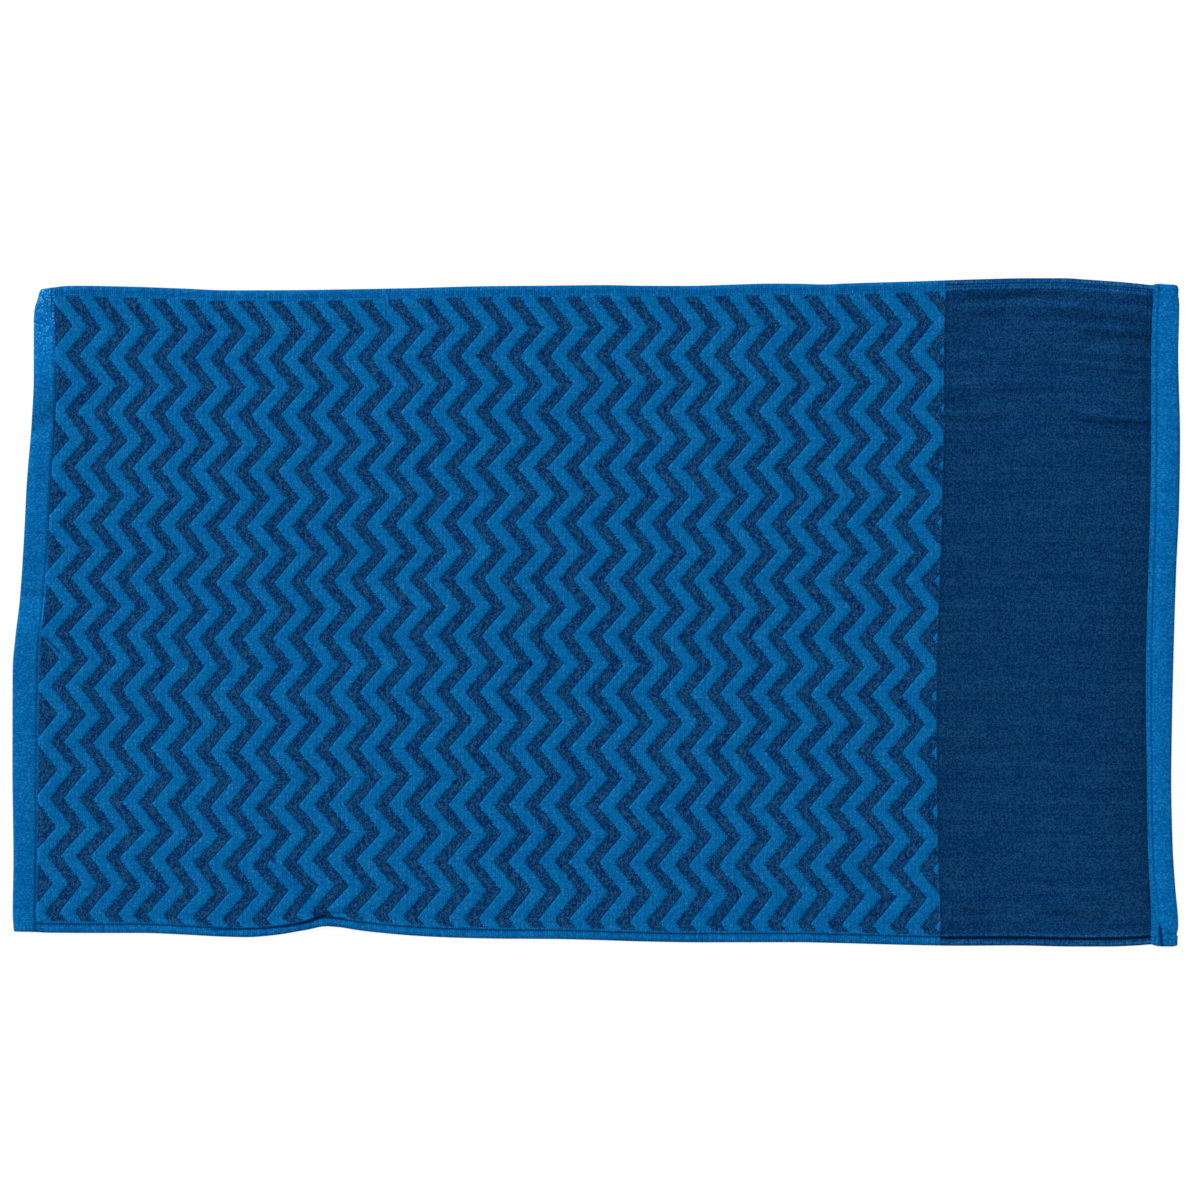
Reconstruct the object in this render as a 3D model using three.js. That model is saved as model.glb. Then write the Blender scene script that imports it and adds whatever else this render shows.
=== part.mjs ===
// Sports towel, lying flat with its patterned face up.
// Millimetres, +Z up, +X along the towel towards its plain band, +Y across it to its back edge.
// The origin is on the surface that the towel lies on, below the middle of its outline.

import * as THREE from "three";
import { mergeVertices } from "three/addons/utils/BufferGeometryUtils.js";

// How far the outline reaches to each side of the origin at its widest places
const HALF_LENGTH = 449;
const HALF_WIDTH = 257;

// The patterned field is a thick double weave, and the plain band and the ends are a thin single one.
// The field ends at a share of the cloth between the end hems.
const FIELD_THICKNESS = 2.4;
const BAND_THICKNESS = 1.4;
const FIELD_END = 0.8105;
const FIELD_END_BLEND = 0.004;

// A hem is turned twice, so it is three layers of cloth pressed together
const END_HEM_THICKNESS = 3.2;
const SIDE_HEM_THICKNESS = 3.0;
const SIDE_HEM_WIDTH = 7;
const HEM_STEP = 0.8;

const CLOTH_COLOUR = 0x0a5590;

// Outline: how far each edge lies inside the widest reach.
// Along the towel, at runs from 0 at the left end to 1 at the end with the plain band.
// Across it, at runs from 0 at the front edge to 1 at the back edge.
const FRONT_EDGE = [
  { at: 0.0, inset: 11.4 },
  { at: 0.075, inset: 10.6 },
  { at: 0.145, inset: 9.8 },
  { at: 0.195, inset: 7.5 },
  { at: 0.23, inset: 9.8 },
  { at: 0.246, inset: 11.8 },
  { at: 0.265, inset: 15.6 },
  { at: 0.28, inset: 14.8 },
  { at: 0.306, inset: 11.4 },
  { at: 0.348, inset: 8.3 },
  { at: 0.417, inset: 6.0 },
  { at: 0.5, inset: 5.3 },
  { at: 0.59, inset: 3.8 },
  { at: 0.71, inset: 3.0 },
  { at: 0.81, inset: 1.5 },
  { at: 0.925, inset: 0 },
  { at: 0.976, inset: 1.2 },
  { at: 1.0, inset: 0.6 },
];
const BACK_EDGE = [
  { at: 0.0, inset: 8.3 },
  { at: 0.06, inset: 6.0 },
  { at: 0.13, inset: 8.3 },
  { at: 0.18, inset: 9.8 },
  { at: 0.27, inset: 9.1 },
  { at: 0.34, inset: 8.3 },
  { at: 0.41, inset: 6.0 },
  { at: 0.5, inset: 5.3 },
  { at: 0.57, inset: 6.0 },
  { at: 0.67, inset: 4.5 },
  { at: 0.76, inset: 3.0 },
  { at: 0.87, inset: 0 },
  { at: 0.915, inset: 0.7 },
  { at: 0.95, inset: 3.0 },
  { at: 0.976, inset: 4.9 },
  { at: 1.0, inset: 5.3 },
];
const LEFT_EDGE = [
  { at: 0.0, inset: 1.3, hem: 18.0 },
  { at: 0.03, inset: 0.2, hem: 18.0 },
  { at: 0.11, inset: 0.8, hem: 18.5 },
  { at: 0.26, inset: 0, hem: 20.0 },
  { at: 0.41, inset: 0.2, hem: 20.2 },
  { at: 0.46, inset: 2.2, hem: 19.6 },
  { at: 0.52, inset: 5.7, hem: 20.0 },
  { at: 0.62, inset: 9.0, hem: 19.3 },
  { at: 0.7, inset: 11.0, hem: 18.8 },
  { at: 0.8, inset: 14.9, hem: 17.8 },
  { at: 0.87, inset: 16.4, hem: 16.9 },
  { at: 0.96, inset: 16.4, hem: 15.4 },
  { at: 0.985, inset: 18.4, hem: 14.2 },
  { at: 1.0, inset: 20.5, hem: 13.0 },
];
const RIGHT_EDGE = [
  { at: 0.0, inset: 2.2, hem: 20.0 },
  { at: 0.03, inset: 1.4, hem: 20.0 },
  { at: 0.09, inset: 3.8, hem: 18.8 },
  { at: 0.15, inset: 5.7, hem: 18.2 },
  { at: 0.25, inset: 6.8, hem: 18.0 },
  { at: 0.35, inset: 6.1, hem: 19.4 },
  { at: 0.45, inset: 4.9, hem: 20.3 },
  { at: 0.57, inset: 3.0, hem: 20.6 },
  { at: 0.67, inset: 0.7, hem: 21.4 },
  { at: 0.77, inset: 0, hem: 21.6 },
  { at: 0.9, inset: 1.4, hem: 19.8 },
  { at: 0.97, inset: 0.8, hem: 18.6 },
  { at: 1.0, inset: 3.2, hem: 17.0 },
];

// A hem's section, from its outer fold at 0 to its inner edge at 1.
// Top and under are shares of the hem's thickness, and the line of stitches pulls the top down.
const END_HEM_SECTION = [
  { at: 0.0, top: 0.72, under: 0.28 },
  { at: 0.07, top: 1.0, under: 0 },
  { at: 0.66, top: 1.0, under: 0 },
  { at: 0.76, top: 0.84, under: 0 },
  { at: 0.86, top: 1.0, under: 0 },
  { at: 1.0, top: 0.94, under: 0 },
];
const SIDE_HEM_SECTION = [
  { at: 0.0, top: 0.72, under: 0.28 },
  { at: 0.18, top: 1.0, under: 0 },
  { at: 0.66, top: 1.0, under: 0 },
  { at: 0.82, top: 0.84, under: 0 },
  { at: 1.0, top: 0.94, under: 0 },
];

// Soft folds, where the cloth stands off the surface in a low ridge.
// Each runs from one place to another, bowed to the left of that heading by bow.
// Reach is half the ridge's width, and rise and fall are its heights at its two ends.
const FOLDS = [
  // Two ridges behind the plain band's middle, close to the back hem
  { fromX: 277, fromY: 232, toX: 392, toY: 233, bow: 4, reach: 6.5, rise: 0.9, fall: 1.3 },
  { fromX: 300, fromY: 216, toX: 425, toY: 216, bow: 4, reach: 7, rise: 0.7, fall: 1.0 },
  // A long arc right across the band
  { fromX: 270, fromY: 152, toX: 427, toY: 149, bow: 5.5, reach: 5.5, rise: 0.9, fall: 0.9 },
  // A ridge in the band's front corner
  { fromX: 281, fromY: -223, toX: 396, toY: -219, bow: 1, reach: 8, rise: 1.0, fall: 0.8 },
  // The pucker where the front hem is drawn in, and the smaller swell beside it
  { fromX: -209, fromY: -246, toX: -257, toY: -180, bow: 3, reach: 13, rise: 3.0, fall: 1.0 },
  { fromX: -186, fromY: -244, toX: -196, toY: -206, bow: 0, reach: 10, rise: 1.4, fall: 0.5 },
];

// Where the surface is cut into facets between the hems: finer over the folds and the pucker
const ALONG_ZONES = [
  { to: 0.18, steps: 4 },
  { to: 0.3, steps: 12 },
  { to: FIELD_END - FIELD_END_BLEND, steps: 11 },
  { to: FIELD_END + FIELD_END_BLEND, steps: 1 },
  { to: 1, steps: 9 },
];
const ACROSS_ZONES = [
  { to: 0.07, steps: 5 },
  { to: 0.15, steps: 5 },
  { to: 0.79, steps: 8 },
  { to: 0.83, steps: 5 },
  { to: 0.92, steps: 2 },
  { to: 1, steps: 9 },
];

// The slope of a column between one row and the next
function slopeAfter(rows, row, column) {
  return (rows[row + 1][column] - rows[row][column]) / (rows[row + 1].at - rows[row].at);
}

// The slope of a column at one row, flat where the column turns back
function slopeAt(rows, row, column) {
  if (row === 0) {
    return slopeAfter(rows, 0, column);
  }
  if (row === rows.length - 1) {
    return slopeAfter(rows, row - 1, column);
  }
  const before = slopeAfter(rows, row - 1, column);
  const after = slopeAfter(rows, row, column);
  return before * after <= 0 ? 0 : (2 * before * after) / (before + after);
}

// A smooth curve through a table's rows that never swings past them
function readTable(rows, at, column) {
  let row = 0;
  while (row < rows.length - 2 && at > rows[row + 1].at) {
    row += 1;
  }
  const gap = rows[row + 1].at - rows[row].at;
  const share = THREE.MathUtils.clamp((at - rows[row].at) / gap, 0, 1);
  const left = 1 - share;
  const start = rows[row][column] * (1 + 2 * share) + slopeAt(rows, row, column) * gap * share;
  const end = rows[row + 1][column] * (1 + 2 * left) - slopeAt(rows, row + 1, column) * gap * left;
  return start * left * left + end * share * share;
}

// The grid lines in one direction: through the first hem, over the cloth and through the last hem.
// Each line has its zone, and how far it lies through that zone.
function layLines(section, zones) {
  const lines = section.map((row) => ({ zone: "first hem", at: row.at, section: row }));
  const flat = { top: 1, under: 0 };
  lines.push({ zone: "cloth", at: 0, section: flat });
  let from = 0;
  for (const zone of zones) {
    for (let step = 1; step <= zone.steps; step += 1) {
      const at = from + ((zone.to - from) * step) / zone.steps;
      lines.push({ zone: "cloth", at, section: flat });
    }
    from = zone.to;
  }
  for (const row of [...section].reverse()) {
    lines.push({ zone: "last hem", at: row.at, section: row });
  }
  return lines;
}

// Where a line lies between two edges, given each edge's place and its hem's width
function placeLine(line, firstEdge, firstHem, lastEdge, lastHem) {
  if (line.zone === "first hem") {
    return firstEdge + line.at * firstHem;
  }
  if (line.zone === "last hem") {
    return lastEdge - line.at * lastHem;
  }
  const first = firstEdge + firstHem + HEM_STEP;
  const last = lastEdge - lastHem - HEM_STEP;
  return first + (last - first) * line.at;
}

// How far along the whole length or width a line lies, from 0 to 1
function shareOf(line, firstHem, lastHem, reach) {
  return placeLine(line, 0, firstHem, reach, lastHem) / reach;
}

// The thickness of one layer of cloth on a line
function clothThickness(alongLine) {
  if (alongLine.zone !== "cloth") {
    return BAND_THICKNESS;
  }
  const start = FIELD_END - FIELD_END_BLEND;
  const end = FIELD_END + FIELD_END_BLEND;
  const share = THREE.MathUtils.smoothstep(alongLine.at, start, end);
  return THREE.MathUtils.lerp(FIELD_THICKNESS, BAND_THICKNESS, share);
}

// How far one fold lifts the cloth at a place
function liftOfFold(fold, x, y) {
  const headingX = fold.toX - fold.fromX;
  const headingY = fold.toY - fold.fromY;
  const length = Math.hypot(headingX, headingY);
  const forward = ((x - fold.fromX) * headingX + (y - fold.fromY) * headingY) / length;
  const aside = ((y - fold.fromY) * headingX - (x - fold.fromX) * headingY) / length;
  const share = THREE.MathUtils.clamp(forward / length, 0, 1);
  const past = forward - share * length;
  const away = aside - fold.bow * 4 * share * (1 - share);
  const near = 1 - (away * away + past * past) / (fold.reach * fold.reach);
  const height = THREE.MathUtils.lerp(fold.rise, fold.fall, share);
  return near > 0 ? height * near * near : 0;
}

function lift(x, y) {
  return FOLDS.reduce((highest, fold) => Math.max(highest, liftOfFold(fold, x, y)), 0);
}

// One point of the towel, on its top or its underside
function clothPoint(alongLine, acrossLine, onTop) {
  const across = shareOf(acrossLine, SIDE_HEM_WIDTH, SIDE_HEM_WIDTH, 2 * HALF_WIDTH);
  const leftHem = readTable(LEFT_EDGE, across, "hem");
  const rightHem = readTable(RIGHT_EDGE, across, "hem");
  const along = shareOf(alongLine, leftHem, rightHem, 2 * HALF_LENGTH);

  const left = readTable(LEFT_EDGE, across, "inset") - HALF_LENGTH;
  const right = HALF_LENGTH - readTable(RIGHT_EDGE, across, "inset");
  const front = readTable(FRONT_EDGE, along, "inset") - HALF_WIDTH;
  const back = HALF_WIDTH - readTable(BACK_EDGE, along, "inset");
  const x = placeLine(alongLine, left, leftHem, right, rightHem);
  const y = placeLine(acrossLine, front, SIDE_HEM_WIDTH, back, SIDE_HEM_WIDTH);

  const cloth = clothThickness(alongLine);
  const endRise = alongLine.zone === "cloth" ? 0 : END_HEM_THICKNESS - cloth;
  const sideRise = acrossLine.zone === "cloth" ? 0 : SIDE_HEM_THICKNESS - cloth;
  const thickness = cloth + endRise + sideRise;
  const top = thickness * alongLine.section.top * acrossLine.section.top;
  const under = thickness * Math.max(alongLine.section.under, acrossLine.section.under);
  return new THREE.Vector3(x, y, lift(x, y) + (onTop ? top : under));
}

// The towel is a thin box whose grid lines are moved to the cloth's own lines
function makeTowel() {
  const alongLines = layLines(END_HEM_SECTION, ALONG_ZONES);
  const acrossLines = layLines(SIDE_HEM_SECTION, ACROSS_ZONES);
  const alongSteps = alongLines.length - 1;
  const acrossSteps = acrossLines.length - 1;
  const box = new THREE.BoxGeometry(alongSteps, acrossSteps, 1, alongSteps, acrossSteps, 1);
  box.deleteAttribute("normal");
  box.deleteAttribute("uv");
  const geometry = mergeVertices(box);
  const points = geometry.attributes.position;
  for (let index = 0; index < points.count; index += 1) {
    const alongLine = alongLines[Math.round(points.getX(index) + alongSteps / 2)];
    const acrossLine = acrossLines[Math.round(points.getY(index) + acrossSteps / 2)];
    const point = clothPoint(alongLine, acrossLine, points.getZ(index) > 0);
    points.setXYZ(index, point.x, point.y, point.z);
  }
  geometry.computeVertexNormals();
  const finish = new THREE.MeshStandardMaterial({ color: CLOTH_COLOUR, roughness: 0.95, metalness: 0 });
  const towel = new THREE.Mesh(geometry, finish);
  towel.name = "towel";
  return towel;
}

const model = new THREE.Group();
model.add(makeTowel());

export default model;
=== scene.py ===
"""Sports towel, laid flat with its patterned face up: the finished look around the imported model.

Metres, +Z up, +X along the towel towards its plain band, +Y across it to its back edge.
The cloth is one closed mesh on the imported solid's own outline, hems and folds. Its grid lines
follow the woven zigzags, so that the stripes stand out in relief. Stitches are pieces of their own.
"""

import math
from dataclasses import dataclass
from functools import partialmethod

import bpy
import numpy as np
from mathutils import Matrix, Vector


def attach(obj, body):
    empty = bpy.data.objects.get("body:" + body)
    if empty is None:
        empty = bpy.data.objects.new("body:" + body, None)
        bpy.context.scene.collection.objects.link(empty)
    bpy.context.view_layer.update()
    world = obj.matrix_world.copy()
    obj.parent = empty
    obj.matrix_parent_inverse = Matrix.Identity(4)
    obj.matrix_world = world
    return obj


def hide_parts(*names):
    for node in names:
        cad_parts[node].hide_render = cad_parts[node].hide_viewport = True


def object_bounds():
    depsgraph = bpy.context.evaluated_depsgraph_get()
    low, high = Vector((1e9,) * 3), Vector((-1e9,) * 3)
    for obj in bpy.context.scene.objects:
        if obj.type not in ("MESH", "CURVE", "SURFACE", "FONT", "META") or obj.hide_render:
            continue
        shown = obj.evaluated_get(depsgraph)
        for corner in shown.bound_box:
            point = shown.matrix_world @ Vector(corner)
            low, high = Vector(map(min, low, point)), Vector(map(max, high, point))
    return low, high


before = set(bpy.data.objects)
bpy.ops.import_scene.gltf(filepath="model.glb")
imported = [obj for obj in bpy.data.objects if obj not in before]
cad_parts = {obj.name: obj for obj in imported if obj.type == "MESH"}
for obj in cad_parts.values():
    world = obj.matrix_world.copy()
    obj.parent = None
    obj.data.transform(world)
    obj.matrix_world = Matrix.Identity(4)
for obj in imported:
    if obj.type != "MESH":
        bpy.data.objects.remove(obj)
cad_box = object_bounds()

# The outline reaches this far to each side of the origin at its widest places, to the millimetre
HALF_LENGTH = round(cad_box[1][0], 3)
HALF_WIDTH = round(cad_box[1][1], 3)

# Thicknesses of the cloth and of its turned hems, as in the part's source
FIELD_THICKNESS = 0.0024
BAND_THICKNESS = 0.0014
END_HEM_THICKNESS = 0.0032
SIDE_HEM_THICKNESS = 0.003
THINNEST = 0.0007
# Width of the side hems, and of the step from a hem down to the cloth
SIDE_HEM_WIDTH = 0.0076
HEM_STEP = 0.0008
# The field's share of the cloth between the end hems, and the step down from it to the plain band
FIELD_END = 0.8105
BAND_STEP_WIDTH = 0.0026


def from_mm(columns, rows):
    """A table with the lengths in some of its columns turned from millimetres into metres."""
    return tuple(tuple(v / 1000 if k in columns else v for k, v in enumerate(row)) for row in rows)


# How far each edge lies inside the widest reach: share of the way along it, inset, width of its hem.
# These are the part's own edges with their small waves and the corners' shapes added.
FRONT_EDGE = from_mm(range(1, 2), (
    (0, 11.6), (0.015, 11.3), (0.03, 10.6), (0.075, 10.4), (0.11, 10.4), (0.145, 9.2), (0.18, 7.6),
    (0.2, 7.2), (0.22, 8.4), (0.25, 12.6), (0.268, 15.8), (0.28, 14.8), (0.306, 11.4), (0.348, 8.1),
    (0.38, 6.8), (0.42, 6), (0.46, 5.8), (0.5, 5), (0.54, 3.9), (0.59, 3.2), (0.67, 3.3), (0.71, 2.6),
    (0.77, 1.2), (0.81, 0.6), (0.86, 0.8), (0.91, 0), (0.94, 0), (0.965, 0.8), (0.9775, 1.6), (0.9805, 0.8),
    (0.984, 0.2), (0.995, 0.1), (1, 0.9),
))
BACK_EDGE = from_mm(range(1, 2), (
    (0, 11.2), (0.0045, 9.4), (0.009, 8.2), (0.015, 7.4), (0.02, 6.8), (0.025, 6.2), (0.03, 5.9),
    (0.04, 5.8), (0.08, 6.4), (0.13, 7.9), (0.17, 9.3), (0.22, 9.2), (0.27, 8.6), (0.33, 7.6), (0.39, 6.2),
    (0.45, 5.7), (0.5, 5.3), (0.53, 5.8), (0.57, 5.9), (0.61, 4.9), (0.645, 4.1), (0.67, 4.3), (0.69, 4.8),
    (0.71, 4), (0.76, 2.7), (0.83, 0.7), (0.87, 0), (0.9, 0), (0.915, 0.8), (0.95, 3), (0.9667, 4.4),
    (0.9765, 5.2), (0.9792, 4.5), (0.983, 4.3), (0.988, 4.8), (0.996, 5.1), (1, 6.8),
))
LEFT_EDGE = from_mm(range(1, 3), (
    (0, 1.3, 17.8), (0.03, 0.2, 17.8), (0.11, 0.8, 18), (0.26, 0, 19.2), (0.41, 0.2, 19.6),
    (0.46, 2.2, 19.2), (0.52, 5.7, 19.2), (0.62, 9, 18.6), (0.7, 11, 18.2), (0.8, 14.9, 17.6),
    (0.87, 16.4, 16.5), (0.96, 16.4, 15.4), (0.969, 16.8, 15), (0.974, 17.1, 14.7), (0.9785, 17.6, 14.2),
    (0.983, 18.7, 13.2), (0.9876, 19.6, 12.4), (0.9926, 20.3, 11.8), (0.997, 21.1, 11.1), (1, 22.3, 10.1),
))
RIGHT_EDGE = from_mm(range(1, 3), (
    (0, 2.2, 20), (0.0085, 2.1, 20), (0.013, 1.9, 20), (0.0166, 2.7, 19.4), (0.0205, 2.2, 19.6),
    (0.026, 1.5, 20), (0.03, 1.4, 20), (0.09, 3.8, 18.8), (0.15, 5.7, 18.2), (0.25, 6.8, 18),
    (0.35, 6.1, 19.4), (0.45, 4.9, 20.3), (0.57, 3, 20.6), (0.67, 0.7, 21.4), (0.77, 0, 21.6),
    (0.9, 1.4, 20), (0.94, 0.9, 19.9), (0.97, 0.6, 19.4), (0.98, 0.9, 18.8), (0.985, 1.4, 18.3),
    (0.989, 1.5, 18.2), (0.993, 1.3, 18.2), (1, 1.9, 18),
))

# Folds of the part's source and the finer ones that only show here: from x, y to x, y, bow to the left
# of that heading, half the ridge's width, and its heights at the two ends
FOLDS = from_mm(range(8), (
    (277, 232, 392, 233, 4, 6.5, 0.9, 1.3), (300, 216, 425, 216, 4, 7, 0.7, 1),
    (270, 152, 427, 149, 5.5, 5.5, 0.9, 0.9), (281, -223, 396, -219, 1, 8, 1, 0.8),
    (-209, -246, -257, -180, 3, 13, 3, 1), (-186, -244, -196, -206, 0, 10, 1.4, 0.5),
))

# Fine creases and spots: from x, y to x, y, half width, rise of the cloth, tone against the cloth beside it.
# The tone is painted light: below 1 it is painted shade in creases and slits and along the front seam's
# pucker, above 1 a painted highlight on a crease's lit side; only the spots of tone 2 and more are light
# lint.
FIELD_CREASES = from_mm(range(6), (
    (-257.2, -179.5, -250, -187.5, 1, -0.4, 0.5), (-248.7, -189.2, -247.8, -190.2, 1.7, -0.3, 0),
    (-244, -194.5, -229, -208, 0.7, -0.2, 0.72), (-245, -191.5, -240, -193.5, 1.3, 0.3, 1.25),
    (-423.5, -19.8, -412.3, -31, 1, -0.4, 0.2), (-411, -32.3, -407.3, -37.1, 0.6, -0.2, 0.65),
    (-331.9, -111.4, -312.6, -129.9, 1.2, -0.2, 0.84), (-217.5, -231, -214, -234.5, 1.4, -0.3, 0.35),
    (-169.8, -124.9, -169.8, -124.9, 0.8, 0, 2.2), (-134.3, -172.2, -134.3, -172.2, 0.7, 0, 2),
    (99.8, -80.2, 99.8, -80.2, 0.7, 0, 2.2), (-415.7, 236.6, -415.7, 217.4, 0.5, 0, 0.6),
    (-414.6, 221.5, -414.6, 219, 1.3, 0, 0.2), (-416.3, 154.5, -416.3, 142.5, 0.6, 0, 0.35),
))
# Painted shade along the front seam and its pucker
FRONT_HEM_CREASES = from_mm(range(6), (
    (-296, -244, -257.2, -243.1, 0.6, 0, 0.3), (-257.2, -243, -239.5, -241.5, 0.7, 0, 0.15),
    (-239.5, -241.5, -227.9, -239.4, 0.9, 0, 0), (-227.9, -239.2, -220.2, -237, 1.2, 0, -0.3),
    (-220.2, -237, -214.1, -234.4, 1.4, 0, -0.4), (-214.1, -234.4, -208.7, -233, 1.3, 0, -0.1),
    (-215.6, -232.3, -212, -232.1, 1.4, 0, 0.3), (-208.7, -231, -189.4, -230.6, 0.6, 0, 0.5),
    (-208.7, -233.4, -193.3, -235.6, 0.8, 0, 0.25), (-204.8, -239.2, -193.3, -240.8, 1, 0, 0.7),
    (-227.9, -242, -218, -240, 1.4, 0, 0.75),
))
# Painted shade and painted highlights on the plain band's folds, and two lint spots
BAND_CREASES = from_mm(range(6), (
    (287.2, 243.8, 317.2, 244.3, 2.4, -0.5, 0.64), (317.2, 244.3, 337.3, 245.9, 2.4, -0.6, 0.55),
    (337.3, 245.9, 354.2, 244.7, 2.1, -0.4, 0.76), (318.8, 239.3, 368.8, 235.5, 2.6, 0.4, 1.28),
    (354.2, 236.6, 361.1, 236.6, 1.2, 0, 1.3), (354.2, 230.5, 385.8, 227, 2.8, -0.4, 0.74),
    (376.5, 221.2, 403.5, 218.9, 2.8, 0.3, 1.2), (377.3, 215.5, 426.6, 211.2, 2.6, -0.4, 0.66),
    (295.7, 230.5, 311.1, 228.9, 3, -0.2, 0.82), (276.4, 214.3, 304.9, 214.3, 3, -0.2, 0.86),
    (268.7, 163.5, 284.1, 160, 2.2, -0.3, 0.7), (372.7, 155, 395.8, 153.2, 1.3, 0.2, 1.42),
    (389, 151.5, 422.7, 148.5, 1.4, 0.2, 1.42), (272.6, 148, 311.1, 148, 2.8, -0.3, 0.82),
    (376.5, 147, 426.6, 145, 2.6, -0.3, 0.7), (282.6, -228.2, 296.5, -232.3, 2.6, -0.3, 0.72),
    (347.3, -230, 391.2, -234.6, 3.6, -0.4, 0.8), (348.5, -222.3, 365.8, -219.2, 2.2, 0.3, 1.25),
    (425.4, -208.5, 425, -224.5, 1.1, 0, 0.6), (305.7, -243.1, 319.6, -240.8, 1.4, 0.2, 1.28),
    (409.6, -250, 426.6, -247.3, 1, 0, 0.35), (401.2, 84.2, 401.2, 84.2, 0.7, 0, 2.4),
    (418.1, -153, 418.1, -153, 0.7, 0, 2.4),
))
# Painted shade in the right hem's slit and folds
RIGHT_HEM_CREASES = from_mm(range(6), (
    (433.1, -242, 434.3, -255, 1.3, -0.6, 0.15), (435.5, -246.6, 446.6, -246.8, 0.7, -0.2, 0.6),
    (438.9, -243, 438.9, -246.6, 0.6, 0, 0.7), (432.7, 249, 432.7, 248.2, 1.3, 0, 0.45),
    (438.5, -249, 438.5, -255, 0.6, 0, 0.8), (442, -249, 442, -255, 0.6, 0, 0.8),
))
# Painted shade and painted light on the left hem's soft bends and along its seam
LEFT_HEM_CREASES = from_mm(range(6), (
    (-433.5, 144.2, -417.3, 157.3, 5, -0.5, 0.84), (-434.3, 132.7, -420.4, 138.8, 4, 0.3, 1.1),
    (-438.9, 101.9, -424.3, 109.6, 5, -0.4, 0.9), (-442.8, 15.6, -425, 14.1, 2.4, -0.3, 0.82),
    (-443.5, 4.9, -428.1, 4.9, 5, 0.3, 1.08), (-422.7, 35.9, -425.8, -5.9, 0.6, 0, 1.8),
    (-418.6, 248.9, -418.2, 231.2, 0.5, 0, 0.55), (-417.2, 246.6, -418, 212, 0.6, 0, 1.3),
    (-416.5, 154.5, -416.5, 142.5, 0.6, 0, 0.35),
))
RAISED_CREASES = FIELD_CREASES + BAND_CREASES + LEFT_HEM_CREASES + RIGHT_HEM_CREASES

# Low waves: pitch along, pitch across, height and phase. The plain band, being thinner, has more of them.
WAVES = (
    (0.31, 0.19, 0.00018, 0.4), (-0.17, 0.12, 0.00014, 2.1), (0.24, -0.071, 0.00009, 4),
    (-0.093, 0.16, 0.00007, 1.3),
)
BAND_WAVES = (
    (0.42, 0.031, 0.00013, 0.7), (-0.51, 0.0195, 0.00009, 3.9), (0.26, 0.046, 0.00012, 5.2),
    (-0.33, 0.0135, 0.00005, 1.9),
)
BAND_WAVES_RISE = (0.262, 0.285)

# The woven pattern: zigzag columns that point to the right, in shares of the towel's length and width
FIRST_TIP_ALONG = 0.0578
PERIOD_ALONG = 0.02597
FIRST_TIP_ACROSS = 0.0721
PERIOD_ACROSS = 0.08654
ZIGZAG = 0.775
DARK_SHARE = 0.48
NOMINAL_LENGTH = 0.893
NOMINAL_WIDTH = 0.504
# The columns sway to and fro across the towel, and are drawn together near the left hem, both in periods
SWAY = (
    (0, -0.06), (0.06, -0.07), (0.2, 0.02), (0.33, 0.06), (0.44, 0.06), (0.55, -0.02), (0.67, -0.06),
    (0.82, -0.07), (1, -0.07),
)
SWAY_STRENGTH = (
    (0, 1.9), (0.15, 1.5), (0.4, 1), (0.68, 1), (0.8, 0.1), (1, 0),
)
DRAWN_IN = (
    (0, 0.27), (0.05, 0.203), (0.1, 0.133), (0.15, 0.073), (0.2, 0.03), (0.27, 0.005), (1, 0),
)
# The pucker in the front hem lies between these shares of the length and draws in only the cloth beside it
PUCKER_FROM = 0.19
PUCKER_TO = 0.31
PUCKER_START = 0.0078
PUCKER_REACH = 0.045
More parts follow.
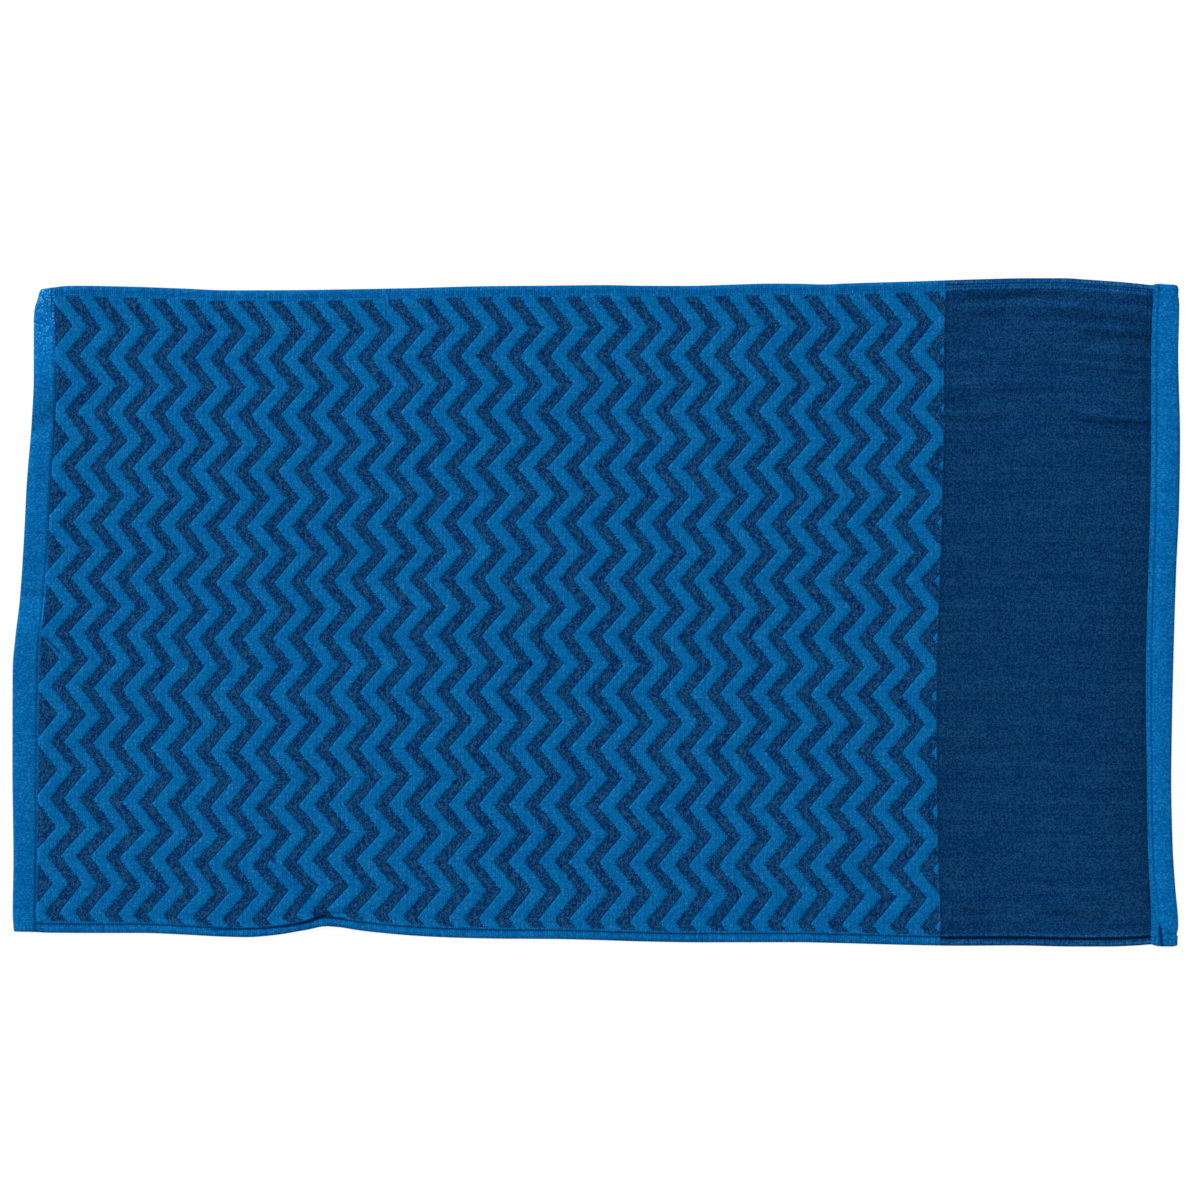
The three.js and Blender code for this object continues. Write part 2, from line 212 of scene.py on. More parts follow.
# Places where the pattern has slid: x, y, reach along, reach across, how far to the right and how far up
SLIDES = from_mm(range(6), (
    (-275, -140, 75, 75, 0, -3.6), (20, 20, 170, 170, 0, 1.3), (-400, 60, 130, 130, 0, -1),
    (-430, -100, 60, 60, 0, 1.4), (195, 190, 70, 70, 0, -1.2), (-20, 171, 70, 70, 0, -1.2),
    (-359, 183, 46, 46, 0, -1.2), (188, 163, 62, 115, 0, -0.8), (-405, -98, 54, 100, 0, 1.8),
    (-128, 40, 69, 92, 0, 0.7), (-59, -129, 77, 100, 0, 0.8), (-259, -206, 46, 39, 0, -1.5),
    (242, -198, 46, 46, 0, -0.9), (-266, -14, 46, 46, 0, -0.6), (149, -98, 54, 54, 0, 0.6),
    (-336, 48, 62, 62, 0.6, 0), (-382, -87, 69, 31, -1, 0), (-343, -168, 54, 31, 0.7, 0),
    (-128, 163, 85, 54, -0.8, 0), (111, -6, 69, 77, -0.8, 0), (242, -145, 46, 100, 1.6, 0),
    (234, 210, 46, 46, 0.7, 0), (-405, -120, 40, 150, 0, 1.2), (-266, -150, 65, 60, 0, 1.7),
    (120, -150, 200, 110, 0, 0.6), (-150, 180, 220, 90, 0, -0.6), (130, 120, 60, 150, 0, -0.5),
    (242, 120, 45, 90, 0, 0.7), (-400, 45, 50, 65, 0.8, 0), (-270, -87, 60, 22, -0.7, 0),
    (-330, -164, 80, 22, 0.5, 0), (-270, 165, 70, 36, -0.5, 0), (-80, 50, 60, 40, -0.5, 0),
    (103, 205, 40, 40, -0.8, 0), (150, -90, 70, 90, -0.5, 0), (242, 0, 30, 300, 0.3, 0),
    (-174, -202, 40, 22, -0.9, 0), (-365, 218, 35, 30, 0, -1), (-420, 220, 25, 35, 0, 2.2),
    (-245, -75, 90, 35, 0, 0.8), (-240, -10, 100, 20, 0.5, 0), (-405, -205, 30, 25, 0, 0.8),
    (242, -85, 30, 70, 0.5, 0), (-405, 45, 30, 70, 0.4, 0.5), (-13, -202, 60, 30, 0.6, 0.8),
    (-240, -164, 100, 22, 0.5, 0), (-313, -150, 30, 45, 0, 0.8), (-220, -150, 30, 45, 0, 0.6),
    (-280, 0, 60, 40, 0, 0.5), (-375, -87, 45, 25, 0, -0.7), (10, 221, 160, 25, 0, -0.5),
    (35, 165, 55, 40, 0, 0.5),
))
# No place slides up or down within these shares of the towel's edges
STILL_BY_SIDES = 0.03
STILL_BY_END = 0.018

# Relief: how high the bright stripes stand, and the shares of a period in which they rise and fall
RELIEF = 0.00045
RISE_SHARE = 0.04
FALL_SHARE = 0.045

# Grid lines: rows in each half zigzag, the least share between a hem and a row, columns in each period,
# and the plain band's columns, which lie closer together by its two ends
ROWS_PER_HALF = 10
ROW_GAP = 0.0015
LINES_PER_PERIOD = (0.0, 0.04, 0.16, 0.32, 0.475, 0.525, 0.68, 0.84)
BAND_LENGTH = 0.161
BAND_STEP = 0.0023
BAND_FIRST_LINES = (0.0006, 0.0012, 0.0018, 0.0026)
BAND_LAST_LINES = (0.0016, 0.0008)
BAND_EVEN_FROM = 0.028
BAND_EVEN_TO = 0.98
# More half zigzags and periods than the towel is wide and long: lines past the cloth are left out
HALVES = (-2, 26)
PERIODS = (-3, 31)
# A column this near to the field's end is moved onto it
SNAP = 0.0004

# Hem sections on the top, from the outer fold at 0 to the inner edge at 1: height as a share of the hem.
# The dips are where the stitches pull the cloth down.
END_HEM_FOLD = (
    (0, 0.46), (0.008, 0.62), (0.025, 0.78), (0.055, 0.9), (0.1, 0.98), (0.2, 1.07),
)
LEFT_HEM_TOP = END_HEM_FOLD + (
    (0.36, 1.12), (0.52, 1.09), (0.66, 1.05), (0.78, 1.02), (0.86, 0.98), (0.91, 0.92), (0.94, 0.82),
    (0.96, 0.72), (0.98, 0.76), (1, 0.74),
)
RIGHT_HEM_TOP = END_HEM_FOLD + (
    (0.34, 1.12), (0.5, 1.12), (0.62, 1.07), (0.76, 1), (0.81, 0.92), (0.84, 0.84), (0.87, 0.92),
    (0.9, 1.01), (0.95, 1.02), (0.98, 0.96), (1, 0.84),
)
SIDE_HEM_TOP = (
    (0, 0.46), (0.02, 0.62), (0.06, 0.8), (0.13, 0.93), (0.24, 1), (0.42, 1.04), (0.6, 1.02), (0.74, 0.95),
    (0.82, 0.84), (0.88, 0.78), (0.93, 0.86), (0.975, 0.9), (1, 0.8),
)
# An end hem runs out over the side hems, and keeps their round edge only up to this share of their width
ROUND_EDGE = 0.2
# Distances from the side edge within which an end hem is raised by the side hem under it, and fluted
RAISED_BY_SIDE_HEM = (0.003, 0.016)
FLUTED_BY_SIDE_HEM = (0.006, 0.01)
FLUTE_PITCH = 0.0054
FLUTE_HEIGHT = 0.00018
# Waves, creases and flutes die out over these distances from the outer edge
CALM_RIM = (0.0004, 0.0016)
# The rim's underside: how far in from the outer edge, and its height as a share of the edge's
UNDER_SECTION = ((0.0004, 0.4), (0.0018, 0.0))
# A point of the outer edge that is further out than this, along or across, lies on an end or on a side
ENDS_AND_SIDES = (0.4, 0.2)
# The underside's columns under the plain band are this many of the top's apart, and end this far before it
UNDER_BAND_STRIDE = 9
UNDER_BAND_GAP = 3
# Past an end hem's foot, the share of the hem grows on by 1 over this distance
BESIDE_HEM = 0.02
# The towel's length on the map for baking, and its width in each half of it
MAP_LENGTH = 0.98
MAP_WIDTH = 0.48

# Seams: share of the hem's width, and the places across the towel between which two of them change course
LEFT_SEAM = 0.96
LEFT_SEAM_TURNS = (0.02, 0.07)
RIGHT_SEAM = 0.84
RIGHT_SEAM_TURNS = (-0.226, -0.202)
RIGHT_SEAM_BEND = 0.085
FURTHER_OUT = 0.76
SIDE_SEAM = 0.88

rng = np.random.default_rng(7)


# Reading the tables

def read_table(rows, at, column=1):
    """A smooth curve through a table's rows that never swings past them."""
    table = np.array(rows)
    places = table[:, 0]
    values = table[:, column]
    gaps = np.diff(places)
    slopes = np.diff(values) / gaps
    before = slopes[:-1]
    after = slopes[1:]
    turns = before * after <= 0
    inner = np.where(turns, 0, 2 * before * after / np.where(turns, 1, before + after))
    tangents = np.concatenate([slopes[:1], inner, slopes[-1:]])
    row = np.clip(np.searchsorted(places, at) - 1, 0, len(gaps) - 1)
    share = np.clip((at - places[row]) / gaps[row], 0, 1)
    left = 1 - share
    start = values[row] * (1 + 2 * share) + tangents[row] * gaps[row] * share
    end = values[row + 1] * (1 + 2 * left) - tangents[row + 1] * gaps[row] * left
    return start * left**2 + end * share**2


def smooth(low, high, value):
    """0 below low, 1 above high and a soft rise between."""
    share = np.clip((value - low) / (high - low), 0, 1)
    return share * share * (3 - 2 * share)


def measure(line):
    """The length and heading of a line from x, y to x, y. A spot has no length, and heads to the right."""
    from_x, from_y, to_x, to_y = line
    length = math.hypot(to_x - from_x, to_y - from_y)
    if not length:
        return 0.0, 1.0, 0.0
    return length, (to_x - from_x) / length, (to_y - from_y) / length


# The surface

def beside_line(line, x, y):
    """The share of the way along a line, and the distances past its ends and to its left."""
    length, heading_x, heading_y = measure(line)
    forward = (x - line[0]) * heading_x + (y - line[1]) * heading_y
    aside = (y - line[1]) * heading_x - (x - line[0]) * heading_y
    held = np.clip(forward, 0, length)
    return held / (length or 1), forward - held, aside


def ridge(aside, past, reach):
    """1 on a line and 0 beyond its reach, with round ends."""
    return np.clip(1 - (aside**2 + past**2) / reach**2, 0, None) ** 2


def lift(x, y):
    """How far the folds raise the cloth."""
    heights = []
    for *line, bow, reach, rise, fall in FOLDS:
        share, past, aside = beside_line(line, x, y)
        bowed = aside - bow * 4 * share * (1 - share)
        heights.append((rise + (fall - rise) * share) * ridge(bowed, past, reach))
    return np.max(heights, axis=0)


def crease_height(x, y):
    """How far the fine creases raise or lower the cloth."""
    total = np.zeros_like(x)
    for *line, half_width, rise, _ in RAISED_CREASES:
        _, past, aside = beside_line(line, x, y)
        total += rise * ridge(aside, past, 2 * half_width)
    return total


def waves(rows, x, y):
    total = np.zeros_like(x)
    for pitch_x, pitch_y, height, turn in rows:
        total += height * np.cos(2 * math.pi * (x / pitch_x + y / pitch_y) + turn)
    return total


def unevenness(x, y):
    """The low waves of cloth that was smoothed by hand, longer along the towel than across it."""
    return waves(WAVES, x, y) + smooth(*BAND_WAVES_RISE, x) * waves(BAND_WAVES, x, y)


def triangle_wave(value):
    return 2 * np.abs(value - np.round(value))


def stripe_height(w):
    """1 on the bright stripes' crowns, 0 in the dark stripes, soft between."""
    past_tip = w - np.floor(w)
    rise = smooth(0.0, RISE_SHARE, past_tip)
    fall = 1 - smooth(1 - DARK_SHARE - FALL_SHARE, 1 - DARK_SHARE, past_tip)
    return rise * fall


def slide(x, y):
    """How far the pattern has slid to the right and up."""
    right = np.zeros_like(x)
    up = np.zeros_like(x)
    for middle_x, middle_y, reach_x, reach_y, to_right, upwards in SLIDES:
        near = np.exp(-(((x - middle_x) / reach_x) ** 2) - ((y - middle_y) / reach_y) ** 2)
        right += to_right * near
        up += upwards * near
    return right, up


def shift_along(share, across):
    """How far the zigzag columns have moved to the right of their even places, in periods."""
    sway = read_table(SWAY, across) * read_table(SWAY_STRENGTH, share)
    right, _ = slide((share - 0.5) * NOMINAL_LENGTH, (across - 0.5) * NOMINAL_WIDTH)
    return sway + read_table(DRAWN_IN, share) + right / (PERIOD_ALONG * NOMINAL_LENGTH)


def rows_between(low, rows, high):
    return tuple(row for row in rows if low < row[0] < high)


# The pattern follows the edges without the pucker and without the shapes of the corners
CALM_FRONT_EDGE = tuple(row for row in FRONT_EDGE if not PUCKER_FROM < row[0] < PUCKER_TO)
CALM_LEFT_EDGE = rows_between(-1, LEFT_EDGE, 0.965)
CALM_RIGHT_EDGE = rows_between(0.02, RIGHT_EDGE, 0.98)
CALM_RIGHT_FROM = 0.023


class Grid:
    """The top's grid of points: columns along the towel, rows across it."""

    def __init__(self):
        self.lay_rows()
        self.lay_columns()
        self.place()
        self.raise_surface()

    def lay_rows(self):
        """Each row's zone, place in it and height. The cloth's rows meet the zigzags' bends."""
        hem = np.array(SIDE_HEM_TOP)
        steps = np.arange(HALVES[0] * ROWS_PER_HALF, HALVES[1] * ROWS_PER_HALF)
        tips = FIRST_TIP_ACROSS + PERIOD_ACROSS / 2 * steps / ROWS_PER_HALF
        low = (SIDE_HEM_WIDTH + HEM_STEP) / NOMINAL_WIDTH
        tips = tips[(tips > low + ROW_GAP) & (tips < 1 - low - ROW_GAP)]
        cloth = (np.concatenate([[low], tips, [1 - low]]) - low) / (1 - 2 * low)
        self.row_zone = np.repeat(["front", "cloth", "back"], [len(hem), len(cloth), len(hem)])
        self.row_at = np.concatenate([hem[:, 0], cloth, hem[::-1, 0]])
        self.row_top = np.concatenate([hem[:, 1], np.ones(len(cloth)), hem[::-1, 1]])

    def row_place(self, first, last):
        """Each row's place between two edges."""
        foot = SIDE_HEM_WIDTH + HEM_STEP
        at = self.row_at
        return np.select(
            [self.row_zone == "front", self.row_zone == "back"],
            [first + at * SIDE_HEM_WIDTH, last - at * SIDE_HEM_WIDTH],
            first + foot + (last - first - 2 * foot) * at,
        )

    def lay_columns(self):
        """Each column's zone, place in it and height."""
        self.row_share = self.row_place(0, 2 * HALF_WIDTH) / (2 * HALF_WIDTH)
        across = self.row_place(0, NOMINAL_WIDTH) / NOMINAL_WIDTH
        self.row_q = (across - FIRST_TIP_ACROSS) / PERIOD_ACROSS
        left_hem = np.array(LEFT_HEM_TOP)
        right_hem = np.array(RIGHT_HEM_TOP)[::-1]
        lines = np.add.outer(np.arange(*PERIODS), LINES_PER_PERIOD).ravel()
        even = np.linspace(BAND_EVEN_FROM, BAND_EVEN_TO, round(BAND_LENGTH / BAND_STEP))
        near = np.array(BAND_FIRST_LINES) / BAND_LENGTH
        far = 1 - np.array(BAND_LAST_LINES) / BAND_LENGTH
        band = np.concatenate([near, even, far, [1.0]])
        zones = ["left", "start", "field", "end", "band", "right"]
        self.col_zone = np.repeat(zones, [len(left_hem), 1, len(lines), 1, len(band), len(right_hem)])
        self.col_at = np.concatenate([left_hem[:, 0], [0], lines, [0], band, right_hem[:, 0]])
        flat = np.ones(2 + len(lines) + len(band))
        self.col_top = np.concatenate([left_hem[:, 1], flat, right_hem[:, 1]])

    def column_share(self, across):
        """Each column's share of the length, if it were a column of the pattern."""
        p = self.col_at[:, None] - ZIGZAG * triangle_wave(self.row_q)
        share = FIRST_TIP_ALONG + PERIOD_ALONG * p + 0 * across
        for _ in range(4):
            share = FIRST_TIP_ALONG + PERIOD_ALONG * (p + shift_along(share, across))
        return share

    def place(self):
        """x and y of every point, its distances from the edges, and its place in the pattern."""
        t = self.row_share
        left = read_table(LEFT_EDGE, t) - HALF_LENGTH
        right = HALF_LENGTH - read_table(RIGHT_EDGE, t)
        left_hem = read_table(LEFT_EDGE, t, 2)
        right_hem = read_table(RIGHT_EDGE, t, 2)
        first = left + left_hem + HEM_STEP
        last = right - right_hem - HEM_STEP
        self.end = first + (last - first) * FIELD_END
        calm_left = read_table(CALM_LEFT_EDGE, t) - HALF_LENGTH
        calm_right = HALF_LENGTH - read_table(CALM_RIGHT_EDGE, np.maximum(t, CALM_RIGHT_FROM))
        across = FIRST_TIP_ACROSS + PERIOD_ACROSS * self.row_q[None, :]
        field = calm_left + self.column_share(across) * (calm_right - calm_left)
        zone = self.col_zone[:, None]
        at = self.col_at[:, None]
        self.below = (zone == "field") & (field < first + SNAP)
        self.beyond = (zone == "field") & (field > self.end - SNAP)
        field = np.select([self.below, self.beyond], [first + 0 * at, self.end + 0 * at], field)
        band = self.end + (last - self.end) * at
        self.x = np.select(
            [zone == "left", zone == "start", zone == "field", zone == "end", zone == "band"],
            [left + at * left_hem, first + 0 * at, field, self.end + 0 * at, band],
            right - at * right_hem,
        )
        along = (self.x - calm_left) / (calm_right - calm_left)
        front = read_table(FRONT_EDGE, along) - HALF_WIDTH
        back = HALF_WIDTH - read_table(BACK_EDGE, along)
        calm_front = read_table(CALM_FRONT_EDGE, along) - HALF_WIDTH
        behind = self.row_place(0, NOMINAL_WIDTH) - PUCKER_START
        drawn = (front - calm_front) * np.exp(-behind / PUCKER_REACH)
        calm = self.row_place(calm_front, back)
        y = np.where(self.row_zone == "cloth", calm + drawn, self.row_place(front, back))
        inside = smooth(0, STILL_BY_SIDES, across) * smooth(0, STILL_BY_SIDES, 1 - across)
        self.y = y + slide(self.x, y)[1] * inside * smooth(0, STILL_BY_END, along)
        self.from_end = np.minimum(self.x - left, right - self.x)
        self.from_side = np.minimum(self.y - front, back - self.y)
        self.p = (along - FIRST_TIP_ALONG) / PERIOD_ALONG - shift_along(along, across)
        self.along = FIRST_TIP_ALONG + PERIOD_ALONG * self.p
        self.across = np.broadcast_to(across, self.x.shape)

    def raise_surface(self):
        """z of every point."""
        zone = self.col_zone[:, None]
        on_cloth = self.row_zone[None, :] == "cloth"
        in_end_hem = np.isin(zone, ["left", "right"])
        past_end = smooth(0, BAND_STEP_WIDTH, self.x - self.end)
        cloth = FIELD_THICKNESS + (BAND_THICKNESS - FIELD_THICKNESS) * past_end
        base = np.where(in_end_hem, BAND_THICKNESS, cloth)
        end_rise = np.where(in_end_hem, END_HEM_THICKNESS - BAND_THICKNESS, 0)
        over_side_hem = 1 - smooth(*RAISED_BY_SIDE_HEM, self.from_side)
        side_share = np.where(in_end_hem, over_side_hem, ~on_cloth)
        thickness = base + end_rise + (SIDE_HEM_THICKNESS - base) * side_share
        past_round_edge = in_end_hem & (self.row_at[None, :] > ROUND_EDGE)
        row_top = np.where(past_round_edge, 1, self.row_top[None, :])
        on_field = np.isin(zone, ["start", "field", "end"]) & on_cloth
        w = self.p + ZIGZAG * triangle_wave(self.row_q)
        relief = np.where(on_field, RELIEF * (stripe_height(w) - 1), 0)
        fluted = 1 - smooth(*FLUTED_BY_SIDE_HEM, self.from_side)
        flutes = FLUTE_HEIGHT * np.cos(2 * math.pi * self.from_end / FLUTE_PITCH) * fluted * in_end_hem
        inside_rim = smooth(*CALM_RIM, self.from_side) * smooth(*CALM_RIM, self.from_end)
        low_waves = (unevenness(self.x, self.y) + crease_height(self.x, self.y) + flutes) * inside_rim
        top = thickness * self.col_top[:, None] * row_top + relief
        self.z = np.maximum(top + lift(self.x, self.y) + low_waves, THINNEST)


grid = Grid()


# The cloth's faces

def number_points():
    """An index for each grid point. Lines cut off by the field's two ends share those ends' points."""
    kept = ~(grid.below | grid.beyond)
    index = np.full(grid.x.shape, -1)
    index[kept] = np.arange(kept.sum())
    index = np.where(grid.below, index[grid.col_zone == "start"], index)
    return np.where(grid.beyond, index[grid.col_zone == "end"], index), kept


class Faces:
    """Faces and the name of each one's material."""

    def __init__(self):
        self.corners = []
        self.looks = []

    def add(self, corners, look):
        """Adds a face, with corners that fell together taken once, unless nothing is left of it."""
        kept = [corner for k, corner in enumerate(corners) if corner != corners[k - 1]]
        if len(set(kept)) == len(kept) and len(kept) > 2:
            self.corners.append(kept)
            self.looks.append(look)


def look_on_top(column, row):
    """The material of the cell beyond a column and a row."""
    zone = grid.col_zone[column]
    if zone == "left":
        return "left_hem"
    if grid.col_zone[column + 1] == "right":
        return "right_hem"
    over_band = zone in ("band", "end")
    ending = "_plain" if over_band else ""
    if grid.row_zone[row] == "front":
        return "front_hem" + ending
    if grid.row_zone[row + 1] == "back":
        return "back_hem" + ending
    return "band" if over_band else "field"


def build_top(index, faces):
    columns, rows = index.shape
    for column in range(columns - 1):
        near = index[column].tolist()
        far = index[column + 1].tolist()
        for row in range(rows - 1):
            faces.add([near[row], far[row], far[row + 1], near[row + 1]], look_on_top(column, row))


def ring_of(index):
    """The outer edge's points in order, counter-clockwise from above, starting at the front left corner."""
    loop = [*index[:, 0], *index[-1, 1:], *index[-2::-1, -1], *index[0, -2:0:-1]]
    return [int(point) for k, point in enumerate(loop) if k == 0 or point != loop[k - 1]]


def build_rim(ring, points, faces):
    """The rim's round underside: rings of points below the outer edge. Gives the lowest ring."""
    rim = points[ring]
    inward = np.sign(rim[:, :2]) * (np.abs(rim[:, :2]) > ENDS_AND_SIDES)
    upper = ring
    for step, height in UNDER_SECTION:
        lower = list(range(len(points), len(points) + len(ring)))
        points = np.concatenate([points, np.column_stack([rim[:, :2] - inward * step, rim[:, 2] * height])])
        for k in range(len(ring)):
            n = (k + 1) % len(ring)
            faces.add([upper[k], lower[k], lower[n], upper[n]], "reverse_plain")
        upper = lower
    return points, lower


def is_whole(values):
    return np.abs(values - np.round(values)) < 0.001


def under_lines():
    """The grid columns and rows that the underside keeps: its rims, its hems' feet and the zigzags' bends."""
    zones = grid.col_zone
    first_foot, end, last_foot = (int(np.flatnonzero(zones == zone)[0]) for zone in ("start", "end", "right"))
    tips = np.flatnonzero((zones == "field") & is_whole(grid.col_at))
    band = range(end + UNDER_BAND_STRIDE, last_foot - UNDER_BAND_GAP, UNDER_BAND_STRIDE)
    inner_rows = np.flatnonzero(grid.row_zone == "cloth")
    bends = inner_rows[is_whole(2 * grid.row_q[inner_rows])]
    columns = [0, first_foot, *tips.tolist(), end, *band, last_foot, len(zones) - 1]
    return columns, [0, int(inner_rows[0]), *bends.tolist(), int(inner_rows[-1]), len(grid.row_zone) - 1]


def look_under(column, at_side):
    """The reverse's material beyond a column, by a side hem or between them."""
    zone = grid.col_zone[column]
    if zone in ("end", "band"):
        return "reverse_band"
    return "reverse_plain" if at_side or zone in ("left", "right") else "reverse_field"


def build_underside(index, ring, lowest, points, faces):
    """The flat underside, coarse inside and joined to the rim's every point. Gives its points' sources."""
    columns, rows = under_lines()
    rim_place = {point: k for k, point in enumerate(ring)}
    inner = {}
    for column in columns[1:-1]:
        for row in rows[1:-1]:
            inner.setdefault(int(index[column, row]), len(points) + len(inner))

    def side(first, second):
        """The points of a cell's side but its last: all of the rim's, where the side lies along the rim."""
        source = int(index[first])
        if source not in rim_place:
            return [inner[source]]
        ends = (columns[-1], rows[-1])
        along_rim = any(a == b and a in (0, end) for a, b, end in zip(first, second, ends))
        start = rim_place[source]
        count = (rim_place[int(index[second])] - start) % len(ring) if along_rim else 1
        return [lowest[(start + k) % len(ring)] for k in range(count)]

    for left, right in zip(columns, columns[1:]):
        for low, high in zip(rows, rows[1:]):
            corners = [(left, low), (right, low), (right, high), (left, high)]
            sides = zip(corners, corners[1:] + corners[:1])
            walk = [point for first, second in sides for point in side(first, second)]
            faces.add(walk[::-1], look_under(left, low in (0, rows[-2])))
    under = points[list(inner)]
    under[:, 2] = 0.0
    return np.concatenate([points, under]), list(inner)


def make_mesh(name, points, faces):
    mesh = bpy.data.meshes.new(name)
    mesh.from_pydata([tuple(point) for point in points], [], faces)
    mesh.polygons.foreach_set("use_smooth", [True] * len(faces))
    mesh.update()
    piece = bpy.data.objects.new(name, mesh)
    bpy.context.scene.collection.objects.link(piece)
    return piece


def carry(mesh, name, *numbers):
    """Gives each point three numbers that the materials read."""
    values = np.stack(numbers, axis=1).ravel()
    mesh.attributes.new(name, "FLOAT_VECTOR", "POINT").data.foreach_set("vector", values)


def unwrap(mesh, points, top_count):
    """One flat map for baking: the top in the square's lower half and the underside in its upper half."""
    counts = np.array([len(face.vertices) for face in mesh.polygons])
    corners = np.array([loop.vertex_index for loop in mesh.loops])
    underneath = np.repeat(np.arange(len(counts)) >= top_count, counts)
    u = 0.5 + points[corners, 0] / (2 * HALF_LENGTH) * MAP_LENGTH
    v = 0.25 + points[corners, 1] / (2 * HALF_WIDTH) * MAP_WIDTH + underneath / 2
    mesh.uv_layers.new(name="OFBake").data.foreach_set("uv", np.stack([u, v], axis=1).ravel())


def points_at(where):
    """x, y and z of some of the grid's points."""
    return np.stack([grid.x[where], grid.y[where], grid.z[where]], axis=1)


def make_cloth(looks):
    """The closed cloth. Its lower points carry the numbers of the points above them."""
    index, kept = number_points()
    top = points_at(kept)
    faces = Faces()
    build_top(index, faces)
    top_count = len(faces.corners)
    ring = ring_of(index)
    points, lowest = build_rim(ring, top, faces)
    points, sources = build_underside(index, ring, lowest, points, faces)
    twins = [*range(len(top)), *ring * len(UNDER_SECTION), *sources]
    piece = make_mesh("towel_cloth", points, faces.corners)
    mesh = piece.data
    names = [look.name for look in looks]
    mesh.polygons.foreach_set("material_index", [names.index(name) for name in faces.looks])
    for look in looks:
        mesh.materials.append(look)
    foot = np.flatnonzero((grid.col_zone == "left") & (grid.col_at == 1))[0]
    past = 1 + (grid.from_end - grid.from_end[foot]) / BESIDE_HEM
    in_hem = np.isin(grid.col_zone, ("left", "right"))[:, None]
    share = np.where(in_hem, grid.col_at[:, None], np.clip(past, 1.0, 3.0))
    along = grid.along * NOMINAL_LENGTH
    across = grid.across * NOMINAL_WIDTH
    carry(mesh, "cloth", *(numbers[kept][twins] for numbers in (along, across, 0 * along)))
    carry(mesh, "edge", *(numbers[kept][twins] for numbers in (grid.from_end, grid.from_side, share)))
    unwrap(mesh, points, top_count)
    return piece


# Sewing thread

STITCH_SIDES = 6
# How far a stitch wanders and leans, how far it stands out of the cloth as a share of its radius, and the
# least and greatest half of its length
STITCH_WANDER = 0.00006
STITCH_LEAN = 0.06
STITCH_RISE = 0.35
STITCH_HALVES = (0.44, 0.5)
# Along a stitch: share of its half length, then its thickness and its rise as shares of the thread's radius
STITCH_SECTION = (
    (-1, 0.35, -0.5), (-0.82, 0.9, -0.05), (-0.4, 1, 0.25), (0.4, 1, 0.25), (0.82, 0.9, -0.05),
    (1, 0.35, -0.5),
)


def column_line(zone, at):
    """The points up one grid column."""
    return points_at(np.flatnonzero((grid.col_zone == zone) & (grid.col_at == at))[0])


def row_line(zone, at):
    """The points along one grid row, from left to right."""
    row = np.flatnonzero((grid.row_zone == zone) & (grid.row_at == at))[0]
    return points_at((~(grid.below | grid.beyond)[:, row], row))


def left_seam():
    """The left hem's seam, which runs into the hem's foot towards the back."""
    front = column_line("left", LEFT_SEAM)
    back = column_line("left", 1.0)
    return front + (back - front) * smooth(*LEFT_SEAM_TURNS, front[:, 1])[:, None]


def right_seam():
    """The right hem's seam, which bends away from the hem's foot at the front."""
    seam = column_line("right", RIGHT_SEAM)
    further_out = column_line("right", FURTHER_OUT)
    bent = (1 - smooth(*RIGHT_SEAM_TURNS, seam[:, 1])) * RIGHT_SEAM_BEND / (RIGHT_SEAM - FURTHER_OUT)
    return seam + (further_out - seam) * bent[:, None]


def spaced(line, pitch, from_ends):
    """Places and headings at an even pitch along a line of points."""
    steps = np.linalg.norm(np.diff(line, axis=0), axis=1)
    travelled = np.concatenate([[0], np.cumsum(steps)])
    count = int((travelled[-1] - 2 * from_ends) / pitch)
    at = from_ends + pitch * (np.arange(count) + 0.5)
    ahead, behind = (
        np.stack([np.interp(at + step, travelled, line[:, k]) for k in range(3)], axis=1)
        for step in (pitch / 2, -pitch / 2)
    )
    heading = ahead - behind
    return (ahead + behind) / 2, heading / np.linalg.norm(heading, axis=1)[:, None]


def stitch_points(middle, heading, half_length, radius, lean):
    """One visible stitch: a short length of thread that dips into the cloth at both ends."""
    turn = [[math.cos(lean), -math.sin(lean), 0], [math.sin(lean), math.cos(lean), 0], [0, 0, 1]]
    turned = np.array(turn) @ heading
    aside = np.array([-turned[1], turned[0], 0.0])
    aside /= np.linalg.norm(aside)
    up = np.cross(turned, aside)
    angles = 2 * math.pi * np.arange(STITCH_SIDES) / STITCH_SIDES
    circle = radius * (np.outer(np.cos(angles), aside) + np.outer(np.sin(angles), up))
    rings = [
        middle + turned * half_length * along + up * radius * rise + circle * width
        for along, width, rise in STITCH_SECTION
    ]
    return np.concatenate(rings)


def stitch_faces():
    """The faces between a stitch's rings of points, and its two ends."""
    last = (len(STITCH_SECTION) - 1) * STITCH_SIDES
    faces = [list(range(STITCH_SIDES))[::-1], list(range(last, last + STITCH_SIDES))]
    for low in range(0, last, STITCH_SIDES):
        high = low + STITCH_SIDES
        for k in range(STITCH_SIDES):
            n = (k + 1) % STITCH_SIDES
            faces.append([low + k, low + n, high + n, high + k])
    return faces


def sew(name, line, pitch, length, radius, from_ends):
    """A seam of stitches as one mesh."""
    points = []
    for middle, heading in zip(*spaced(line, pitch, from_ends)):
        middle = middle + [*rng.normal(0, STITCH_WANDER, 2), radius * STITCH_RISE]
        lean = rng.normal(0.0, STITCH_LEAN)
        half_length = length * rng.uniform(*STITCH_HALVES)
        points.append(stitch_points(middle, heading, half_length, radius, lean))
    shape = stitch_faces()
    starts = range(0, len(points) * len(points[0]), len(points[0]))
    faces = [[start + corner for corner in face] for start in starts for face in shape]
    return make_mesh(name, np.concatenate(points), faces)


# Materials. Colours are as in the picture, and tones are shares of them.

LIGHT_ON_CLOTH = 1.38

